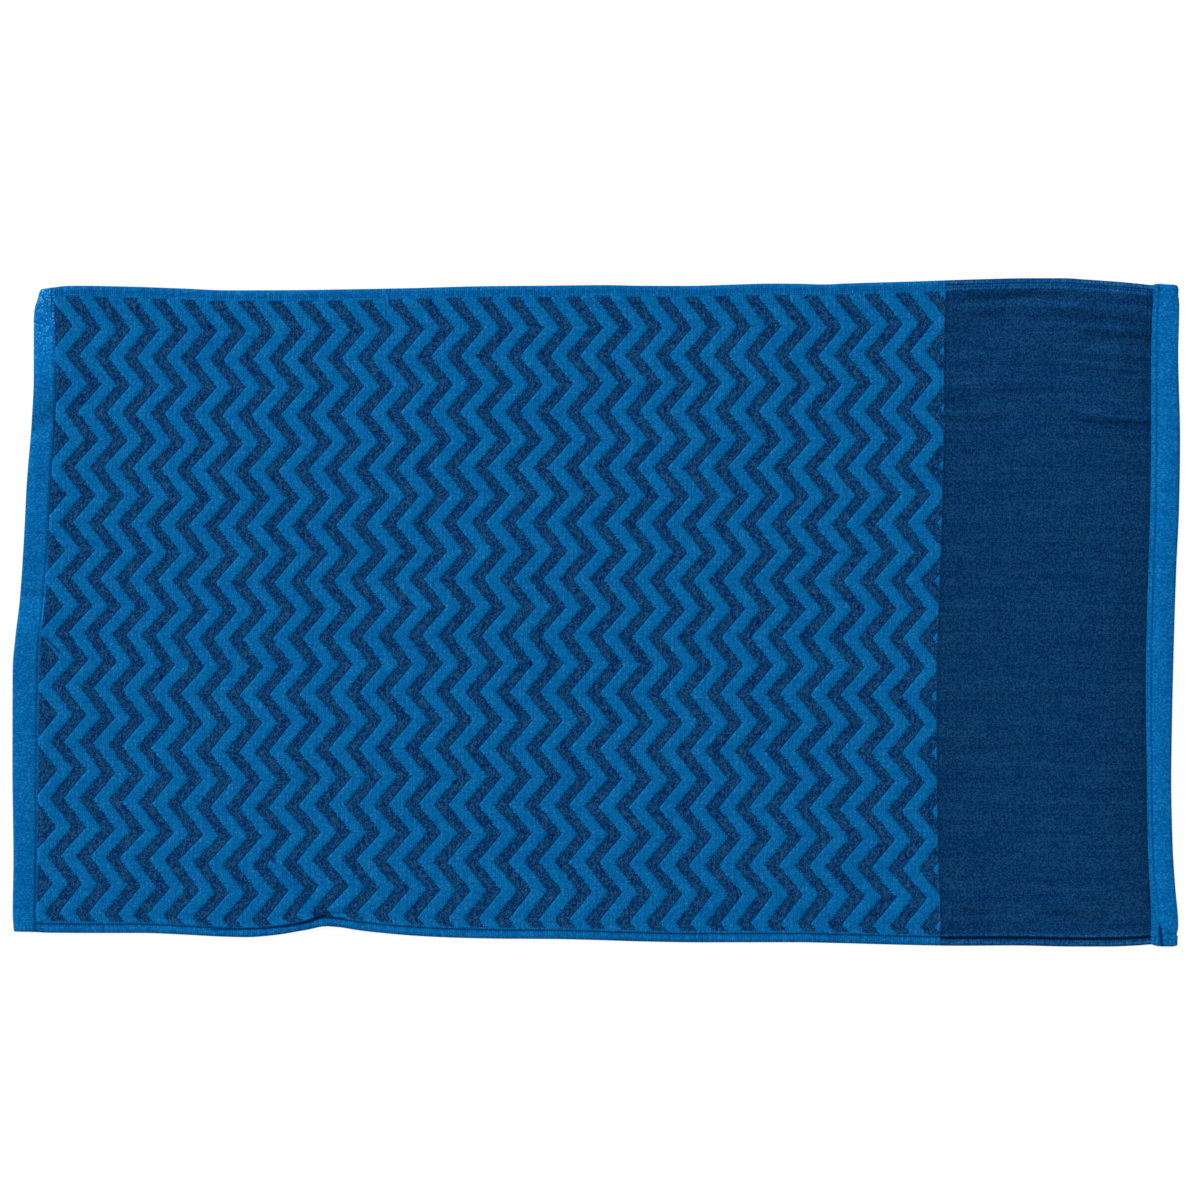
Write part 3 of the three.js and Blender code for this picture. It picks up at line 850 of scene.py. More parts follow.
# Painted light over the whole cloth: its tone along the towel and across it, lighter where the studio light
# falls more strongly and darker where it falls less; places in metres from the middle, and the band's own,
# lighter towards both its edges, in part the painted highlights of its folds
PAINTED_LIGHT_ALONG = (
    (-0.4, 1.01), (-0.32, 1.02), (-0.2, 1.01), (-0.145, 1.01), (-0.086, 1), (0.03, 0.985), (0.09, 0.975),
    (0.206, 0.965), (0.255, 0.965), (0.268, 1.01), (0.34, 1.03), (0.38, 1.02), (0.41, 1),
)
PAINTED_LIGHT_ACROSS = (
    (-0.25, 0.99), (-0.2, 0.985), (-0.03, 0.985), (0.03, 0.985), (0.09, 1.005), (0.15, 1.01), (0.21, 1.02),
)
BAND_PAINTED_LIGHT = (
    (-0.24, 1.03), (-0.2, 1.015), (-0.14, 1), (0.08, 1), (0.13, 1.01), (0.165, 1.02), (0.195, 1.035),
    (0.225, 1.05),
)


def paint(red, green, blue):
    """The base colour that the studio's light brings out as this picture colour."""
    levels = []
    for level in (red, green, blue):
        share = level / 255
        linear = share / 12.92 if share <= 0.04045 else ((share + 0.055) / 1.055) ** 2.4
        levels.append(linear / LIGHT_ON_CLOTH)
    return (*levels, 1.0)


class Number:
    """A number that a material works out at each place. Reckoning with it adds nodes to the material."""

    def __init__(self, look, socket):
        self.look = look
        self.socket = socket

    def math(self, operation, *others):
        return self.look.math(operation, self, *others)

    def __rsub__(self, other):
        return self.look.math("SUBTRACT", other, self)

    __add__ = partialmethod(math, "ADD")
    __sub__ = partialmethod(math, "SUBTRACT")
    __mul__ = partialmethod(math, "MULTIPLY")
    __truediv__ = partialmethod(math, "DIVIDE")
    __abs__ = partialmethod(math, "ABSOLUTE")
    __gt__ = partialmethod(math, "GREATER_THAN")
    __lt__ = partialmethod(math, "LESS_THAN")
    at_least = partialmethod(math, "MAXIMUM")
    at_most = partialmethod(math, "MINIMUM")
    fraction = partialmethod(math, "FRACT")

    def within(self, low, high):
        return (self > low) * (self < high)

    def cells(self, size):
        """The number of the cell of this size that a place lies in."""
        return (self / size).math("FLOOR")

    def middles(self, size):
        """Each value moved to the middle of its cell."""
        return (self.cells(size) + 0.5) * size

    def wave(self, pitch):
        """0 to 1 to 0 over each pitch."""
        return (self * (2 * math.pi / pitch)).math("SINE") * 0.5 + 0.5

    def rise(self, low, high, least=0.0, most=1.0):
        """least below low, most above high and a soft rise between."""
        ends = {"Value": self, "From Min": low, "From Max": high, "To Min": least, "To Max": most}
        made = self.look.node("ShaderNodeMapRange", ends, interpolation_type="SMOOTHSTEP")
        return Number(self.look, made.outputs["Result"])

    def profile(self, low, high, stops):
        """A tone read off a line through a few stops, halved in the ramp so that it can pass 1."""
        made = self.look.node("ShaderNodeValToRGB", {0: (self - low) / (high - low)})
        line = made.color_ramp
        while len(line.elements) < len(stops):
            line.elements.new(0.5)
        for element, (place, tone) in zip(line.elements, stops):
            element.position = (place - low) / (high - low)
            element.color = (tone / 2, tone / 2, tone / 2, 1.0)
        return Number(self.look, made.outputs[0]) * 2.0


def new_material(name):
    material = bpy.data.materials.new(name)
    material.use_nodes = True
    return material


class Look:
    """One material, and short ways to add nodes to it."""

    def __init__(self, name):
        self.material = new_material(name)
        self.tree = self.material.node_tree
        self.position = self.node("ShaderNodeTexCoord", {}).outputs["Object"]
        self.x, self.y, _ = self.split(self.position)

    def node(self, kind, inputs, **settings):
        made = self.tree.nodes.new(kind)
        for name, value in settings.items():
            setattr(made, name, value)
        self.fill(made, inputs)
        return made

    def fill(self, node, inputs):
        """Links or sets a node's inputs. A colour gives only as many numbers as the input takes."""
        for name, value in inputs.items():
            socket = node.inputs[name]
            value = getattr(value, "socket", value)
            if isinstance(value, bpy.types.NodeSocket):
                self.tree.links.new(value, socket)
            elif isinstance(value, tuple):
                socket.default_value = value[:len(socket.default_value)]
            else:
                socket.default_value = value

    def math(self, operation, *values):
        made = self.node("ShaderNodeMath", dict(enumerate(values)), operation=operation)
        return Number(self, made.outputs[0])

    def vector_math(self, operation, *values):
        return self.node("ShaderNodeVectorMath", dict(enumerate(values)), operation=operation).outputs

    def split(self, vector):
        """The three numbers of a vector."""
        return [Number(self, part) for part in self.node("ShaderNodeSeparateXYZ", {0: vector}).outputs]

    def join(self, first, second, third=0.0):
        return self.node("ShaderNodeCombineXYZ", {0: first, 1: second, 2: third}).outputs[0]

    def mix(self, share, first, second, kind="RGBA"):
        """first where share is 0 and second where it is 1."""
        ends = {"Factor": share, "A": first, "B": second}
        return self.node("ShaderNodeMix", ends, data_type=kind).outputs["Result"]

    def blend(self, share, first, second):
        return Number(self, self.mix(share, first, second, "FLOAT"))

    def random(self, column, row, seed):
        """A random number for each cell of a thread grid."""
        cell = {0: self.join(column, row, seed)}
        made = self.node("ShaderNodeTexWhiteNoise", cell, noise_dimensions="3D")
        return Number(self, made.outputs["Value"])

    def noise(self, vector, scale, detail=2.0, space="2D"):
        """Soft noise about 0."""
        inputs = {"Vector": vector, "Scale": scale, "Detail": detail}
        made = self.node("ShaderNodeTexNoise", inputs, noise_dimensions=space)
        return Number(self, made.outputs["Fac"]) - 0.5

    def streaks(self, along, across, along_scale, across_scale):
        """Noise about 0 in streaks, long where the scale is small."""
        return self.noise(self.join(along * along_scale, across * across_scale), 1.0)

    def speckle(self, along, across, length, width, seed):
        """A random number about 0 for each cell of a brick layout."""
        row = across.cells(width)
        shifted = (row * 0.5).fraction() * length + along
        return self.random(shifted.cells(length), row, seed) - 0.5

    def lighter(self, colour, levels, step):
        """A colour moved by a number of picture levels, where step is one level's share of each channel."""
        grown = self.vector_math("MULTIPLY_ADD", levels, step, (1.0, 1.0, 1.0))[0]
        return self.vector_math("MULTIPLY", grown, colour)[0]

    def scaled(self, colour, tone):
        """A colour made lighter or darker."""
        return self.node("ShaderNodeVectorMath", {0: colour, "Scale": tone}, operation="SCALE").outputs[0]

    def tone_across(self, stops):
        """A tone by the place across the towel."""
        return self.y.profile(-HALF_WIDTH, HALF_WIDTH, stops)

    def finish(self, colour, height, depth):
        """Paints soft light and shade over the colour from one end and edge of the towel to the other, and
        gives it bump and shine.
        """
        # Painted light over the whole cloth, lighter where more light falls
        along = self.x.profile(-HALF_LENGTH, HALF_LENGTH, PAINTED_LIGHT_ALONG)
        colour = self.scaled(colour, along * self.tone_across(PAINTED_LIGHT_ACROSS))
        bump = self.node("ShaderNodeBump", {"Height": height, "Distance": depth, "Strength": BUMP})
        colour = self.vector_math("MAXIMUM", colour, (0.0, 0.0, 0.0))[0]
        inputs = {"Base Color": colour, "Normal": bump.outputs[0], **MATT_CLOTH}
        self.fill(self.tree.nodes["Principled BSDF"], inputs)
        return self.material


class ClothLook(Look):
    """A look that reads what the cloth carries: the place in its weave, and the way in from its edges."""

    def __init__(self, name, turned=False):
        super().__init__(name)
        self.weave = self.carried("cloth")
        self.along, self.across, _ = self.split(self.weave)
        self.threads = (self.across, self.along) if turned else (self.along, self.across)
        self.from_end, self.from_side, self.share = self.split(self.carried("edge"))

    def carried(self, name):
        return self.node("ShaderNodeAttribute", {}, attribute_name=name).outputs["Vector"]

    def finish_woven(self, colour):
        along, across = self.threads
        height = along.wave(RIB / 2) * RIB_HEIGHT + across.wave(FINE_THREAD) * FINE_HEIGHT
        return self.finish(colour, height, WEAVE_DEPTH)


BUMP = 0.7
MATT_CLOTH = {
    "Roughness": 0.95,
    "Specular IOR Level": 0.12,
    "Specular Tint": (0.05, 0.45, 1.0, 1.0),
    "Sheen Weight": 0.08,
    "Sheen Roughness": 0.5,
    "Sheen Tint": (0.05, 0.42, 1.0, 1.0),
}

# The weave's ribs run across the towel and its picks along it, and in the end hems the other way round
RIB = 0.00308
PICK = 0.0018
FINE_THREAD = 0.0011
RIB_HEIGHT = 0.7
FINE_HEIGHT = 0.5
BLOB = (0.0026, 0.0031)
HEM_RIB = 0.0017
# Noise, as spots to the metre: streaks by how many along and across, clouds of tone, and spots of hue
FINE_STREAKS = (12.0, 520.0)
WIDE_STREAKS = (9.0, 150.0)
CROSS_STREAKS = (480.0, 12.0)
# Painted light and shade of the band's fine wrinkles
BAND_WRINKLE_SHADING = (10.0, 170.0)
CLOUDS = 60.0
CLOUD_LEVELS = 8.0
HUE_SPOTS = 420.0
THREAD_TWIST = 2600.0
# The seams' lower threads: between which distances from the edge they lie, and the pitch of their dashes
UNDER_SIDE_SEAM = (0.0062, 0.007)
UNDER_END_SEAM = (0.0165, 0.0173)
SIDE_DASH = 0.0034
END_DASH = 0.005
# How deep the bump of the weave, of the side hems and of the sewing thread is
WEAVE_DEPTH = 0.0002
HEM_DEPTH = 0.0003
THREAD_DEPTH = 0.00008
# The stripes' edges step from thread to thread, and each loose thread moves them by part of this share.
# Nearer to the tips than this share, their lower right edges stay sharp.
THREAD = 0.0007
LOOSE_THREAD = 0.0012
LOOSENESS = 0.09
SHARP_EDGE = 0.27
# The dark stripes' edges are darker in this share of the period, and painted glints, light dots where the
# raised bright stripes' edges catch the light, lie beside them in that one
RIM_SHARE = 0.06
RIM_LEVELS = -9.0
GLINTS_SHARE = 0.045
DOT = (0.0011, 0.0013)
GLINT_TONE = 1.33
# The band's streaks of painted light and shade, for its fine wrinkles towards the back, set in between these
# places across the towel
BAND_WRINKLE_SHADING_RISE = (0.1, 0.16)
# Painted highlights, as light specks that sparkle on the cloth: size, and the chance that a place is without
# one, where there are few and many
SPARKLE_CELL = (0.001, 0.0012)
WITHOUT_FEW = 0.93
WITHOUT_MANY = 0.8
FEW_SPARKLES_RISE = (0.19, 0.22)
MANY_SPARKLES_RISE = (0.226, 0.242)
SPARKLE_STRENGTH = 0.6
BAND_WRINKLE_SHADING_STRENGTH = 0.6
# How much of the painted light beside a side hem the patterned cloth takes
TONE_TAKEN = 0.4
# The side hems' upright ribs: how far they differ in tone, in both cloths, and how much more at random
RIB_CONTRAST = 0.2
PLAIN_RIB_CONTRAST = 0.09
RANDOM_RIBS = 1.2
ROW_PITCH = 0.0016
ROW_HEIGHT = 0.4
# The lower threads: how far their dashes reach along a wave, and their tone
DASH_LEVEL = 0.45
DASH_TONE = 0.4
TWIST_CONTRAST = 0.9
# What makes the random patterns differ from each other
LOOSE_SEED = 3.0
RIB_SEED = 6.0
GLINT_SEED = 7.0
SPARKLE_SEED = 9.0
# How red, green and blue share in a lighter level, and in a level of another hue
LIGHTER_SHARES = (1.25, 1.0, 0.8)
HUE_SHARES = (1.25, -0.2, 0.12)


@dataclass
class Yarn:
    """A yarn's picture colour, and how many levels of it its fibres, ribs, blobs, streaks and hues differ."""

    colour: tuple
    fibres: float
    ribs: float
    blobs: float
    lengthwise: float
    crosswise: float
    hues: float
    seed: float
    fibre: tuple = (0.0009, 0.0012)

    def __post_init__(self):
        self.base = paint(*self.colour)
        lighter = paint(*(level + 1 for level in self.colour))
        rises = [(light - plain) / plain for light, plain in zip(lighter[:3], self.base[:3])]
        self.step = tuple(share * rise for share, rise in zip(LIGHTER_SHARES, rises))
        self.turned = tuple(share * rise for share, rise in zip(HUE_SHARES, rises))

    def spin(self, look):
        """The yarn's colour at each place of the cloth."""
        along, across = look.threads
        levels = look.speckle(along, across, *self.fibre, self.seed) * self.fibres
        levels += look.speckle(along, across, *BLOB, self.seed + 10) * self.blobs
        levels += (along.wave(RIB) - 0.5) * self.ribs
        streaks = look.streaks(along, across, *FINE_STREAKS) + look.streaks(along, across, *WIDE_STREAKS)
        levels += streaks * self.lengthwise
        levels += look.streaks(along, across, *CROSS_STREAKS) * self.crosswise
        levels += look.noise(look.weave, CLOUDS) * CLOUD_LEVELS
        colour = look.lighter(self.base, levels, self.step)
        return look.lighter(colour, look.noise(look.weave, HUE_SPOTS, 1.0) * self.hues, self.turned)


BRIGHT_YARN = Yarn((1, 96, 156), fibres=25, ribs=6, blobs=5, lengthwise=9, crosswise=12, hues=14, seed=2)
DARK_YARN = Yarn((14, 58, 101), fibres=44, ribs=4, blobs=12, lengthwise=7, crosswise=7, hues=34, seed=1)
BAND_YARN = Yarn(
    (9, 51, 92), fibres=33, ribs=2, blobs=0, lengthwise=14, crosswise=2, hues=11, seed=8,
    fibre=(0.0009, 0.0008),
)
HEM_YARN = Yarn((1, 100, 166), fibres=33, ribs=0, blobs=6, lengthwise=10, crosswise=8, hues=10, seed=4)
HEM_PLAIN_YARN = Yarn((14, 72, 124), fibres=34, ribs=10, blobs=8, lengthwise=24, crosswise=6, hues=10, seed=5)
THREAD_COLOUR = paint(3, 40, 98)
LIGHT_THREAD_COLOUR = paint(10, 58, 122)
# The colour of the painted highlight specks
SPARKLE_COLOUR = paint(75, 160, 215)
# Painted shade colours: creases in the bright cloth are painted a purple shade, and the front seam's pucker a
# darker one
PAINTED_CREASE_SHADE = paint(26, 34, 98)
PAINTED_SEAM_SHADE = paint(2, 18, 56)


# Painted light and shade across each end hem: share of the hem from its outer edge, and tone. The rounded hem
# is painted lighter or darker by how its slopes face the light, and in shade in its seam's groove and at its
# foot
LEFT_HEM_PAINTED_SHADING = (
    (0, 1), (0.07, 1.1), (0.2, 1), (0.6, 0.97), (0.8, 0.94), (0.88, 0.92), (0.92, 0.84), (0.94, 0.55),
    (0.96, 0.32), (0.98, 0.4), (1, 0.8), (1.03, 0.88), (1.05, 0.92),
)
RIGHT_HEM_PAINTED_SHADING = (
    (0, 0.62), (0.05, 0.72), (0.09, 0.85), (0.15, 0.93), (0.4, 0.96), (0.6, 1), (0.76, 1.03), (0.8, 0.94),
    (0.84, 0.8), (0.87, 0.92), (0.91, 1.03), (0.96, 1.05), (1, 0.86),
)
# The left hem's painted light and shade by places across the towel, over its soft bends, and how far its
# seam's shade is lost there
LEFT_HEM_PAINTED_BENDS = (
    (-0.24, 0.99), (-0.19, 0.96), (-0.16, 0.94), (-0.14, 0.95), (-0.11, 0.98), (-0.07, 0.965),
    (-0.04, 0.94), (-0.006, 1.08), (0.012, 1), (0.035, 0.9), (0.09, 1.02), (0.133, 1.04), (0.155, 0.88),
    (0.175, 1), (0.195, 1.28), (0.212, 1.26), (0.228, 1.13), (0.236, 1.13), (0.245, 1.32),
)
LEFT_SEAM_LOST = (
    (-0.24, 0.1), (-0.19, 0.1), (-0.17, 0.45), (-0.11, 0.45), (-0.05, 0.3), (-0.02, 0.45), (-0.005, 0.9),
    (0.015, 0.7), (0.05, 0.6), (0.08, 0), (0.18, 0), (0.2, 0.8), (0.22, 1),
)
# Where the right hem's seam is half lost, and the tone in place of a lost seam's painted shade
RIGHT_SEAM_FADES = (0.19, 0.215)
WITHOUT_SEAM = 1.03
# The side hems' folds show at the ends of the end hems as painted light and shade in flutes: distance from
# the side edge, and strength
PAINTED_FLUTE_SHADING = ((0.0, 0.4), (0.005, 0.32), (0.0095, 0.0))
# Painted light and shade on the cloth beside the hems: past the left hem it is lit, by the share; by the
# other sides, by distance from the outer edge, it is in shade past the right hem's foot and lit beside the
# side hems; and tone
PAINTED_LIGHT_BESIDE_LEFT_HEM = ((1.02, 1.3), (1.06, 1.4), (1.1, 1.27), (1.15, 1.12), (1.22, 1.0))
PAINTED_SHADE_BESIDE_RIGHT_HEM = ((0.019, 0.76), (0.022, 0.79), (0.027, 0.91), (0.034, 0.94), (0.043, 0.96), (0.049, 1.0))
PAINTED_LIGHT_BESIDE_SIDE_HEM = ((0.0084, 1.3), (0.0098, 1.14), (0.012, 1.0))
# Painted light and shade across the side hems: distance from the outer edge, and tone. The round outer edge
# and the seam's groove are painted in shade, and the slopes that face the light are painted lighter
FRONT_HEM_PAINTED_SHADING = (
    (0, 0.6), (0.001, 0.74), (0.0019, 0.84), (0.0027, 0.94), (0.0035, 0.98), (0.0043, 0.98), (0.005, 0.9),
    (0.0057, 0.78), (0.0063, 0.5), (0.0068, 0.34), (0.0073, 0.5), (0.008, 0.82),
)
BACK_HEM_PAINTED_SHADING = (
    (0, 0.95), (0.0012, 1), (0.002, 1.05), (0.0027, 1), (0.0035, 0.85), (0.0043, 0.84), (0.0052, 0.86),
    (0.006, 0.95), (0.0068, 1.14), (0.0075, 1.12), (0.0081, 0.95),
)
FRONT_PLAIN_PAINTED_SHADING = (
    (0, 0.5), (0.0009, 0.75), (0.0018, 1.1), (0.0026, 1.3), (0.0033, 1.1), (0.0038, 0.6), (0.0043, 0.85),
    (0.005, 0.5), (0.0056, 0.12), (0.0061, 0.03), (0.0068, 0.03), (0.0073, 0.2), (0.0078, 0.7), (0.0084, 1),
)
BACK_PLAIN_PAINTED_SHADING = (
    (0, 0.8), (0.0012, 1.2), (0.0022, 1.45), (0.0029, 1.3), (0.0034, 0.5), (0.004, 0.46), (0.0044, 0.95),
    (0.0051, 1.2), (0.0056, 0.8), (0.0061, 0.95), (0.0068, 1.65), (0.0075, 1.5), (0.0084, 1.25),
)
# The ranges over which the curves of tone above are drawn
END_HEM_RANGE = (0.0, 1.1)
SIDE_HEM_RANGE = (0.0, 0.0084)
PAINTED_FLUTE_RANGE = (0.0, 0.012)
BESIDE_LEFT_RANGE = (1.0, 1.5)
BESIDE_RIGHT_RANGE = (0.0, 0.05)
BESIDE_SIDE_RANGE = (0.0, 0.02)


def painted_crease_light(look, creases):
    """How much painted highlight and how much painted shade a list of creases and spots leaves on the cloth
    at a place; light lint spots count with the highlights.
    """
    flat = look.vector_math("MULTIPLY", look.position, (1.0, 1.0, 0.0))[0]
    darkest = 1.0
    lightest = 1.0
    for *line, half_width, _, tone in creases:
        length, heading_x, heading_y = measure(line)
        heading = (heading_x, heading_y, 0.0)
        away = look.vector_math("SUBTRACT", flat, (line[0], line[1], 0.0))[0]
        forward = Number(look, look.vector_math("DOT_PRODUCT", away, heading)["Value"])
        nearest = look.scaled(heading, forward.at_least(0.0).at_most(length))
        distance = Number(look, look.vector_math("DISTANCE", away, nearest)["Value"])
        soft = distance.rise(0.0, 2 * half_width, tone, 1.0)
        if tone < 1:
            darkest = soft.at_most(darkest)
        else:
            lightest = soft.at_least(lightest)
    return lightest, darkest


# Paints the creases' shade by mixing towards a shade colour, then scales by their painted highlights
def paint_crease_shade(look, colour, creases, shade):
    lightest, darkest = painted_crease_light(look, creases)
    return look.scaled(look.mix(1.0 - darkest, colour, shade), lightest)


def zigzag(p, q):
    """Where a place lies across the zigzag stripes: whole numbers are the dark stripes' right edges."""
    return abs(q - q.math("ROUND")) * (2 * ZIGZAG) + p


def dark_stripes(look):
    """1 in the dark stripes, 1 along their edges inside, and 1 on the painted glints beside their right
    edges.

    The edges step from thread to thread, but stay sharp at the lower right. Left of the first stripe,
    all is dark."""
    along = look.along
    across = look.across
    period_along = PERIOD_ALONG * NOMINAL_LENGTH
    period_across = PERIOD_ACROSS * NOMINAL_WIDTH
    p = (along - FIRST_TIP_ALONG * NOMINAL_LENGTH) / period_along
    q = (across - FIRST_TIP_ACROSS * NOMINAL_WIDTH) / period_across
    even = zigzag(p, q)
    stepped = zigzag(p.middles(THREAD / period_along), q.middles(PICK / period_across))
    loose = look.random(along.cells(LOOSE_THREAD), across.cells(PICK / 2), LOOSE_SEED)
    stepped += (loose - 0.5) * LOOSENESS
    by_edge = abs((even * -1.0).fraction() - 0.5) > SHARP_EDGE
    w = look.blend((q.fraction() > 0.5) * by_edge, stepped, even)
    inside = (w * -1.0).fraction()
    before = w < -1 - DARK_SHARE + RIM_SHARE
    rim = abs(inside - DARK_SHARE / 2) > DARK_SHARE / 2 - RIM_SHARE
    glinting = look.random(along.cells(DOT[0]), across.cells(DOT[1]), GLINT_SEED) > 0.5
    glints = (inside > 1 - GLINTS_SHARE) * glinting
    return (inside < DARK_SHARE).at_least(before), (rim - before).at_least(0.0), glints


def make_patterned(name, reverse=False):
    look = ClothLook(name)
    dark, rim, glints = dark_stripes(look)
    bright_yarn = BRIGHT_YARN.spin(look)
    # Painted glints: light dots beside the dark stripes' right edges
    bright_yarn = look.scaled(bright_yarn, glints * (GLINT_TONE - 1) + 1.0)
    dark_yarn = DARK_YARN.spin(look)
    dark_yarn = look.lighter(dark_yarn, rim * RIM_LEVELS, DARK_YARN.step)
    if reverse:
        colour = look.mix(dark, dark_yarn, bright_yarn)
    else:
        colour = look.mix(dark, bright_yarn, dark_yarn)
        # Painted shade in the creases and along the front seam's pucker
        colour = paint_crease_shade(look, colour, FIELD_CREASES, PAINTED_CREASE_SHADE)
        colour = paint_crease_shade(look, colour, FRONT_HEM_CREASES, PAINTED_SEAM_SHADE)
    # Painted light beside the side hems and past the left hem's foot
    beside = look.from_side.profile(*BESIDE_SIDE_RANGE, PAINTED_LIGHT_BESIDE_SIDE_HEM) * TONE_TAKEN + (1 - TONE_TAKEN)
    colour = look.scaled(colour, beside * look.share.profile(*BESIDE_LEFT_RANGE, PAINTED_LIGHT_BESIDE_LEFT_HEM))
    return look.finish_woven(colour)


def make_plain(name):
    look = ClothLook(name)
    # Painted shade past the right hem's foot and painted light beside the side hems
    tone = look.from_end.profile(*BESIDE_RIGHT_RANGE, PAINTED_SHADE_BESIDE_RIGHT_HEM)
    tone *= look.from_side.profile(*BESIDE_SIDE_RANGE, PAINTED_LIGHT_BESIDE_SIDE_HEM)
    # The band's painted light across the towel
    tone *= look.tone_across(BAND_PAINTED_LIGHT)
    # Painted light and shade of fine wrinkles towards the band's back edge
    drawn = look.streaks(look.along, look.across, *BAND_WRINKLE_SHADING) * look.y.rise(*BAND_WRINKLE_SHADING_RISE)
    tone *= drawn * BAND_WRINKLE_SHADING_STRENGTH + 1.0
    # Painted shade and painted highlights on the band's folds
    lightest, darkest = painted_crease_light(look, BAND_CREASES)
    colour = look.scaled(BAND_YARN.spin(look), tone * lightest * darkest)
    return look.finish_woven(colour)


def sparkled(look, colour):
    """Painted highlights: light specks sparkle on the cloth by the back left corner."""
    chance = look.random(look.along.cells(SPARKLE_CELL[0]), look.across.cells(SPARKLE_CELL[1]), SPARKLE_SEED)
    many = (chance > WITHOUT_MANY) * look.y.rise(*MANY_SPARKLES_RISE)
    few = (chance > WITHOUT_FEW) * look.y.rise(*FEW_SPARKLES_RISE)
    return look.mix(many.at_least(few) * SPARKLE_STRENGTH, colour, SPARKLE_COLOUR)


def finish_end_hem(look, colour, tone, creases):
    """The side hems print through at the two ends of an end hem as painted light and shade in flutes."""
    near_side = look.from_side.profile(*PAINTED_FLUTE_RANGE, PAINTED_FLUTE_SHADING)
    # Painted light and shade in the flutes by the side hems
    flute_shading = (look.from_end.wave(FLUTE_PITCH / 2) - 0.5) * near_side + 1.0
    # Painted shade and light on the hem's creases
    lightest, darkest = painted_crease_light(look, creases)
    colour = look.scaled(colour, tone * flute_shading * lightest * darkest)
    return look.finish_woven(colour)


def make_left_hem(name):
    look = ClothLook(name, turned=True)
    # Painted highlight specks by the back left corner
    colour = sparkled(look, HEM_YARN.spin(look))
    share = look.share - look.y.rise(*LEFT_SEAM_TURNS) * (1 - LEFT_SEAM)
    # Painted light and shade across the hem, darkest in the seam's groove
    tone = share.profile(*END_HEM_RANGE, LEFT_HEM_PAINTED_SHADING)
    tone = look.blend(look.tone_across(LEFT_SEAM_LOST), tone, WITHOUT_SEAM)
    # The hem's painted light and shade across the towel, over its soft bends
    return finish_end_hem(look, colour, tone * look.tone_across(LEFT_HEM_PAINTED_BENDS), LEFT_HEM_CREASES)


def make_right_hem(name):
    look = ClothLook(name, turned=True)
    colour = HEM_YARN.spin(look)
    bent = 1.0 - look.y.rise(*RIGHT_SEAM_TURNS)
    # Painted light and shade across the hem, dark at its outer edge and in the seam's groove
    tone = (look.share + bent * RIGHT_SEAM_BEND).profile(*END_HEM_RANGE, RIGHT_HEM_PAINTED_SHADING)
    tone = look.blend(look.y.rise(*RIGHT_SEAM_FADES) * 0.5, tone, WITHOUT_SEAM)
    return finish_end_hem(look, colour, tone, RIGHT_HEM_CREASES)


def make_side_hem(name, yarn, tones, ribs, creases=()):
    """A side hem, whose upright ribs differ in tone by a share."""
    look = ClothLook(name)
    colour = yarn.spin(look)
    upright = look.along.wave(HEM_RIB)
    loose = look.random(look.along.cells(HEM_RIB), 0.0, RIB_SEED) - 0.5
    # Painted light and shade across the hem, times the ribs' tone
    tone = look.from_side.profile(*SIDE_HEM_RANGE, tones) * ((upright - 0.5) * ribs + 1.0)
    colour = look.scaled(colour, tone * (loose * (RANDOM_RIBS * ribs) + 1.0))
    if creases:
        # Painted shade along the front seam's pucker
        colour = paint_crease_shade(look, colour, creases, PAINTED_SEAM_SHADE)
    return look.finish(colour, upright + look.from_side.wave(ROW_PITCH) * ROW_HEIGHT, HEM_DEPTH)


def make_reverse(name, yarn):
    """The plain reverse, with the seams' lower threads showing as rows of dashes."""
    look = ClothLook(name)
    by_side = look.from_side.within(*UNDER_SIDE_SEAM) * look.along.wave(SIDE_DASH)
    by_end = look.from_end.within(*UNDER_END_SEAM) * look.across.wave(END_DASH)
    seam = by_side + by_end > DASH_LEVEL
    colour = look.scaled(yarn.spin(look), seam * (DASH_TONE - 1) + 1.0)
    return look.finish_woven(colour)


def make_thread_look(name, colour):
    look = Look(name)
    twist = look.noise(look.position, THREAD_TWIST, 1.0, "3D")
    return look.finish(look.scaled(colour, twist * TWIST_CONTRAST + 1.0), twist, THREAD_DEPTH)


# The studio

SKY = 0.7
SUN = 3.18
SUN_WIDTH = math.radians(25)
SUN_TILT = math.radians(48)
SUN_HEADING = math.radians(140)
FLOOR_REACH = 4.0
FLOOR_HEIGHT = -0.0002
FLOOR_GREY = 0.12
FLOOR_GLOW = 0.88
WHITE = (1.0, 1.0, 1.0, 1.0)
CAMERA_PLACE = (0.0029, 0.0095, 2.1802)
LENS = 85
FILM = 36


def make_floor():
    """A floor that glows, so that it shows as white as the photo's background."""
    corners = [
        (FLOOR_REACH * x, FLOOR_REACH * y, FLOOR_HEIGHT)
        for x, y in ((-1, -1), (1, -1), (1, 1), (-1, 1))
    ]
    floor = make_mesh("floor", corners, [(0, 1, 2, 3)])
    material = new_material("floor")
    inputs = material.node_tree.nodes["Principled BSDF"].inputs
    inputs["Base Color"].default_value = (FLOOR_GREY, FLOOR_GREY, FLOOR_GREY, 1.0)
    inputs["Roughness"].default_value = 1.0
    inputs["Specular IOR Level"].default_value = 0.0
    inputs["Emission Color"].default_value = WHITE
    inputs["Emission Strength"].default_value = FLOOR_GLOW
    floor.data.materials.append(material)


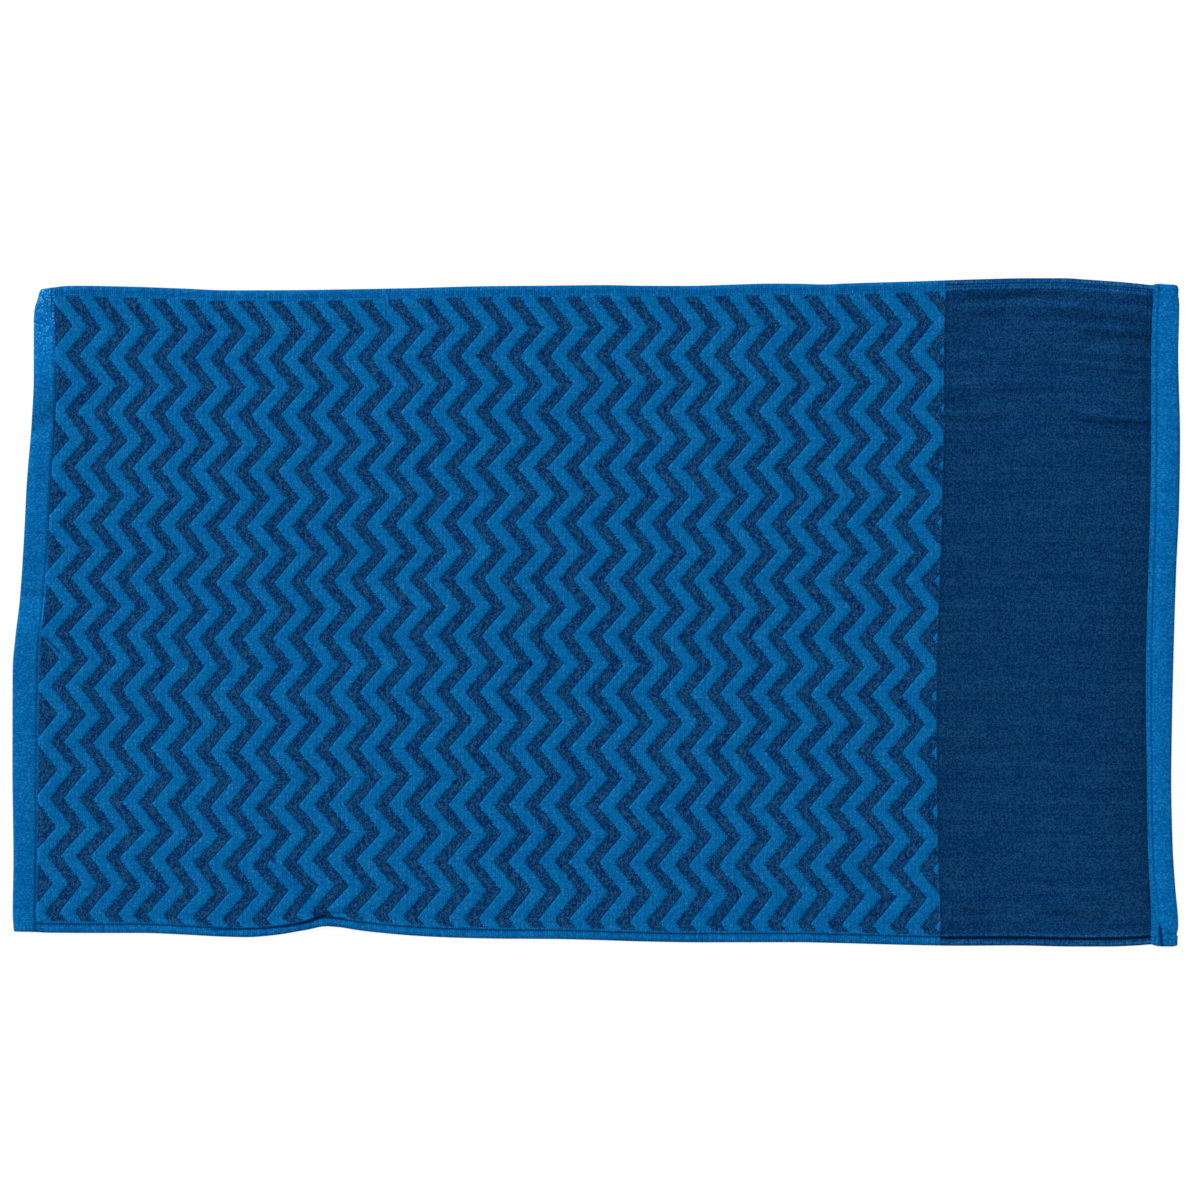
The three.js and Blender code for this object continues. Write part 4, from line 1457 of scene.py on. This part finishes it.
def make_studio():
    scene = bpy.context.scene
    scene.view_settings.view_transform = "Standard"
    world = bpy.data.worlds.new("studio")
    world.use_nodes = True
    sky = world.node_tree.nodes["Background"].inputs
    sky["Color"].default_value = WHITE
    sky["Strength"].default_value = SKY
    scene.world = world
    lamp = bpy.data.lights.new("key", "SUN")
    lamp.energy = SUN
    lamp.angle = SUN_WIDTH
    key = bpy.data.objects.new("key", lamp)
    scene.collection.objects.link(key)
    key.rotation_euler = (0.0, SUN_TILT, SUN_HEADING)
    camera_data = bpy.data.cameras.new("camera")
    camera_data.lens = LENS
    camera_data.sensor_width = FILM
    camera = bpy.data.objects.new("camera", camera_data)
    camera.location = CAMERA_PLACE
    scene.collection.objects.link(camera)
    scene.camera = camera


def declare(piece):
    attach(piece, "root")
    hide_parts("towel")


make_studio()
make_floor()
cloth = make_cloth([
    make_patterned("field"),
    make_plain("band"),
    make_left_hem("left_hem"),
    make_right_hem("right_hem"),
    make_side_hem("front_hem", HEM_YARN, FRONT_HEM_PAINTED_SHADING, RIB_CONTRAST, FRONT_HEM_CREASES),
    make_side_hem("back_hem", HEM_YARN, BACK_HEM_PAINTED_SHADING, RIB_CONTRAST),
    make_side_hem("front_hem_plain", HEM_PLAIN_YARN, FRONT_PLAIN_PAINTED_SHADING, PLAIN_RIB_CONTRAST),
    make_side_hem("back_hem_plain", HEM_PLAIN_YARN, BACK_PLAIN_PAINTED_SHADING, PLAIN_RIB_CONTRAST),
    make_patterned("reverse_field", reverse=True),
    make_reverse("reverse_band", HEM_PLAIN_YARN),
    make_reverse("reverse_plain", HEM_YARN),
])
thread = make_thread_look("sewing_thread", THREAD_COLOUR)
light_thread = make_thread_look("light_sewing_thread", LIGHT_THREAD_COLOUR)
# Name, line, pitch, length and radius of the stitches, distance from the seam's ends, and thread
SEAMS = (
    ("stitches_left", left_seam(), 0.0025, 0.0017, 0.0002, 0.003, light_thread),
    ("stitches_right", right_seam(), 0.0027, 0.0016, 0.00018, 0.003, thread),
    ("stitches_front", row_line("front", SIDE_SEAM), 0.0017, 0.0014, 0.0002, 0.018, thread),
    ("stitches_back", row_line("back", SIDE_SEAM), 0.0017, 0.0014, 0.00017, 0.018, thread),
)
seams = []
for *stitching, look in SEAMS:
    seams.append(sew(*stitching))
    seams[-1].data.materials.append(look)
for piece in (cloth, *seams):
    declare(piece)
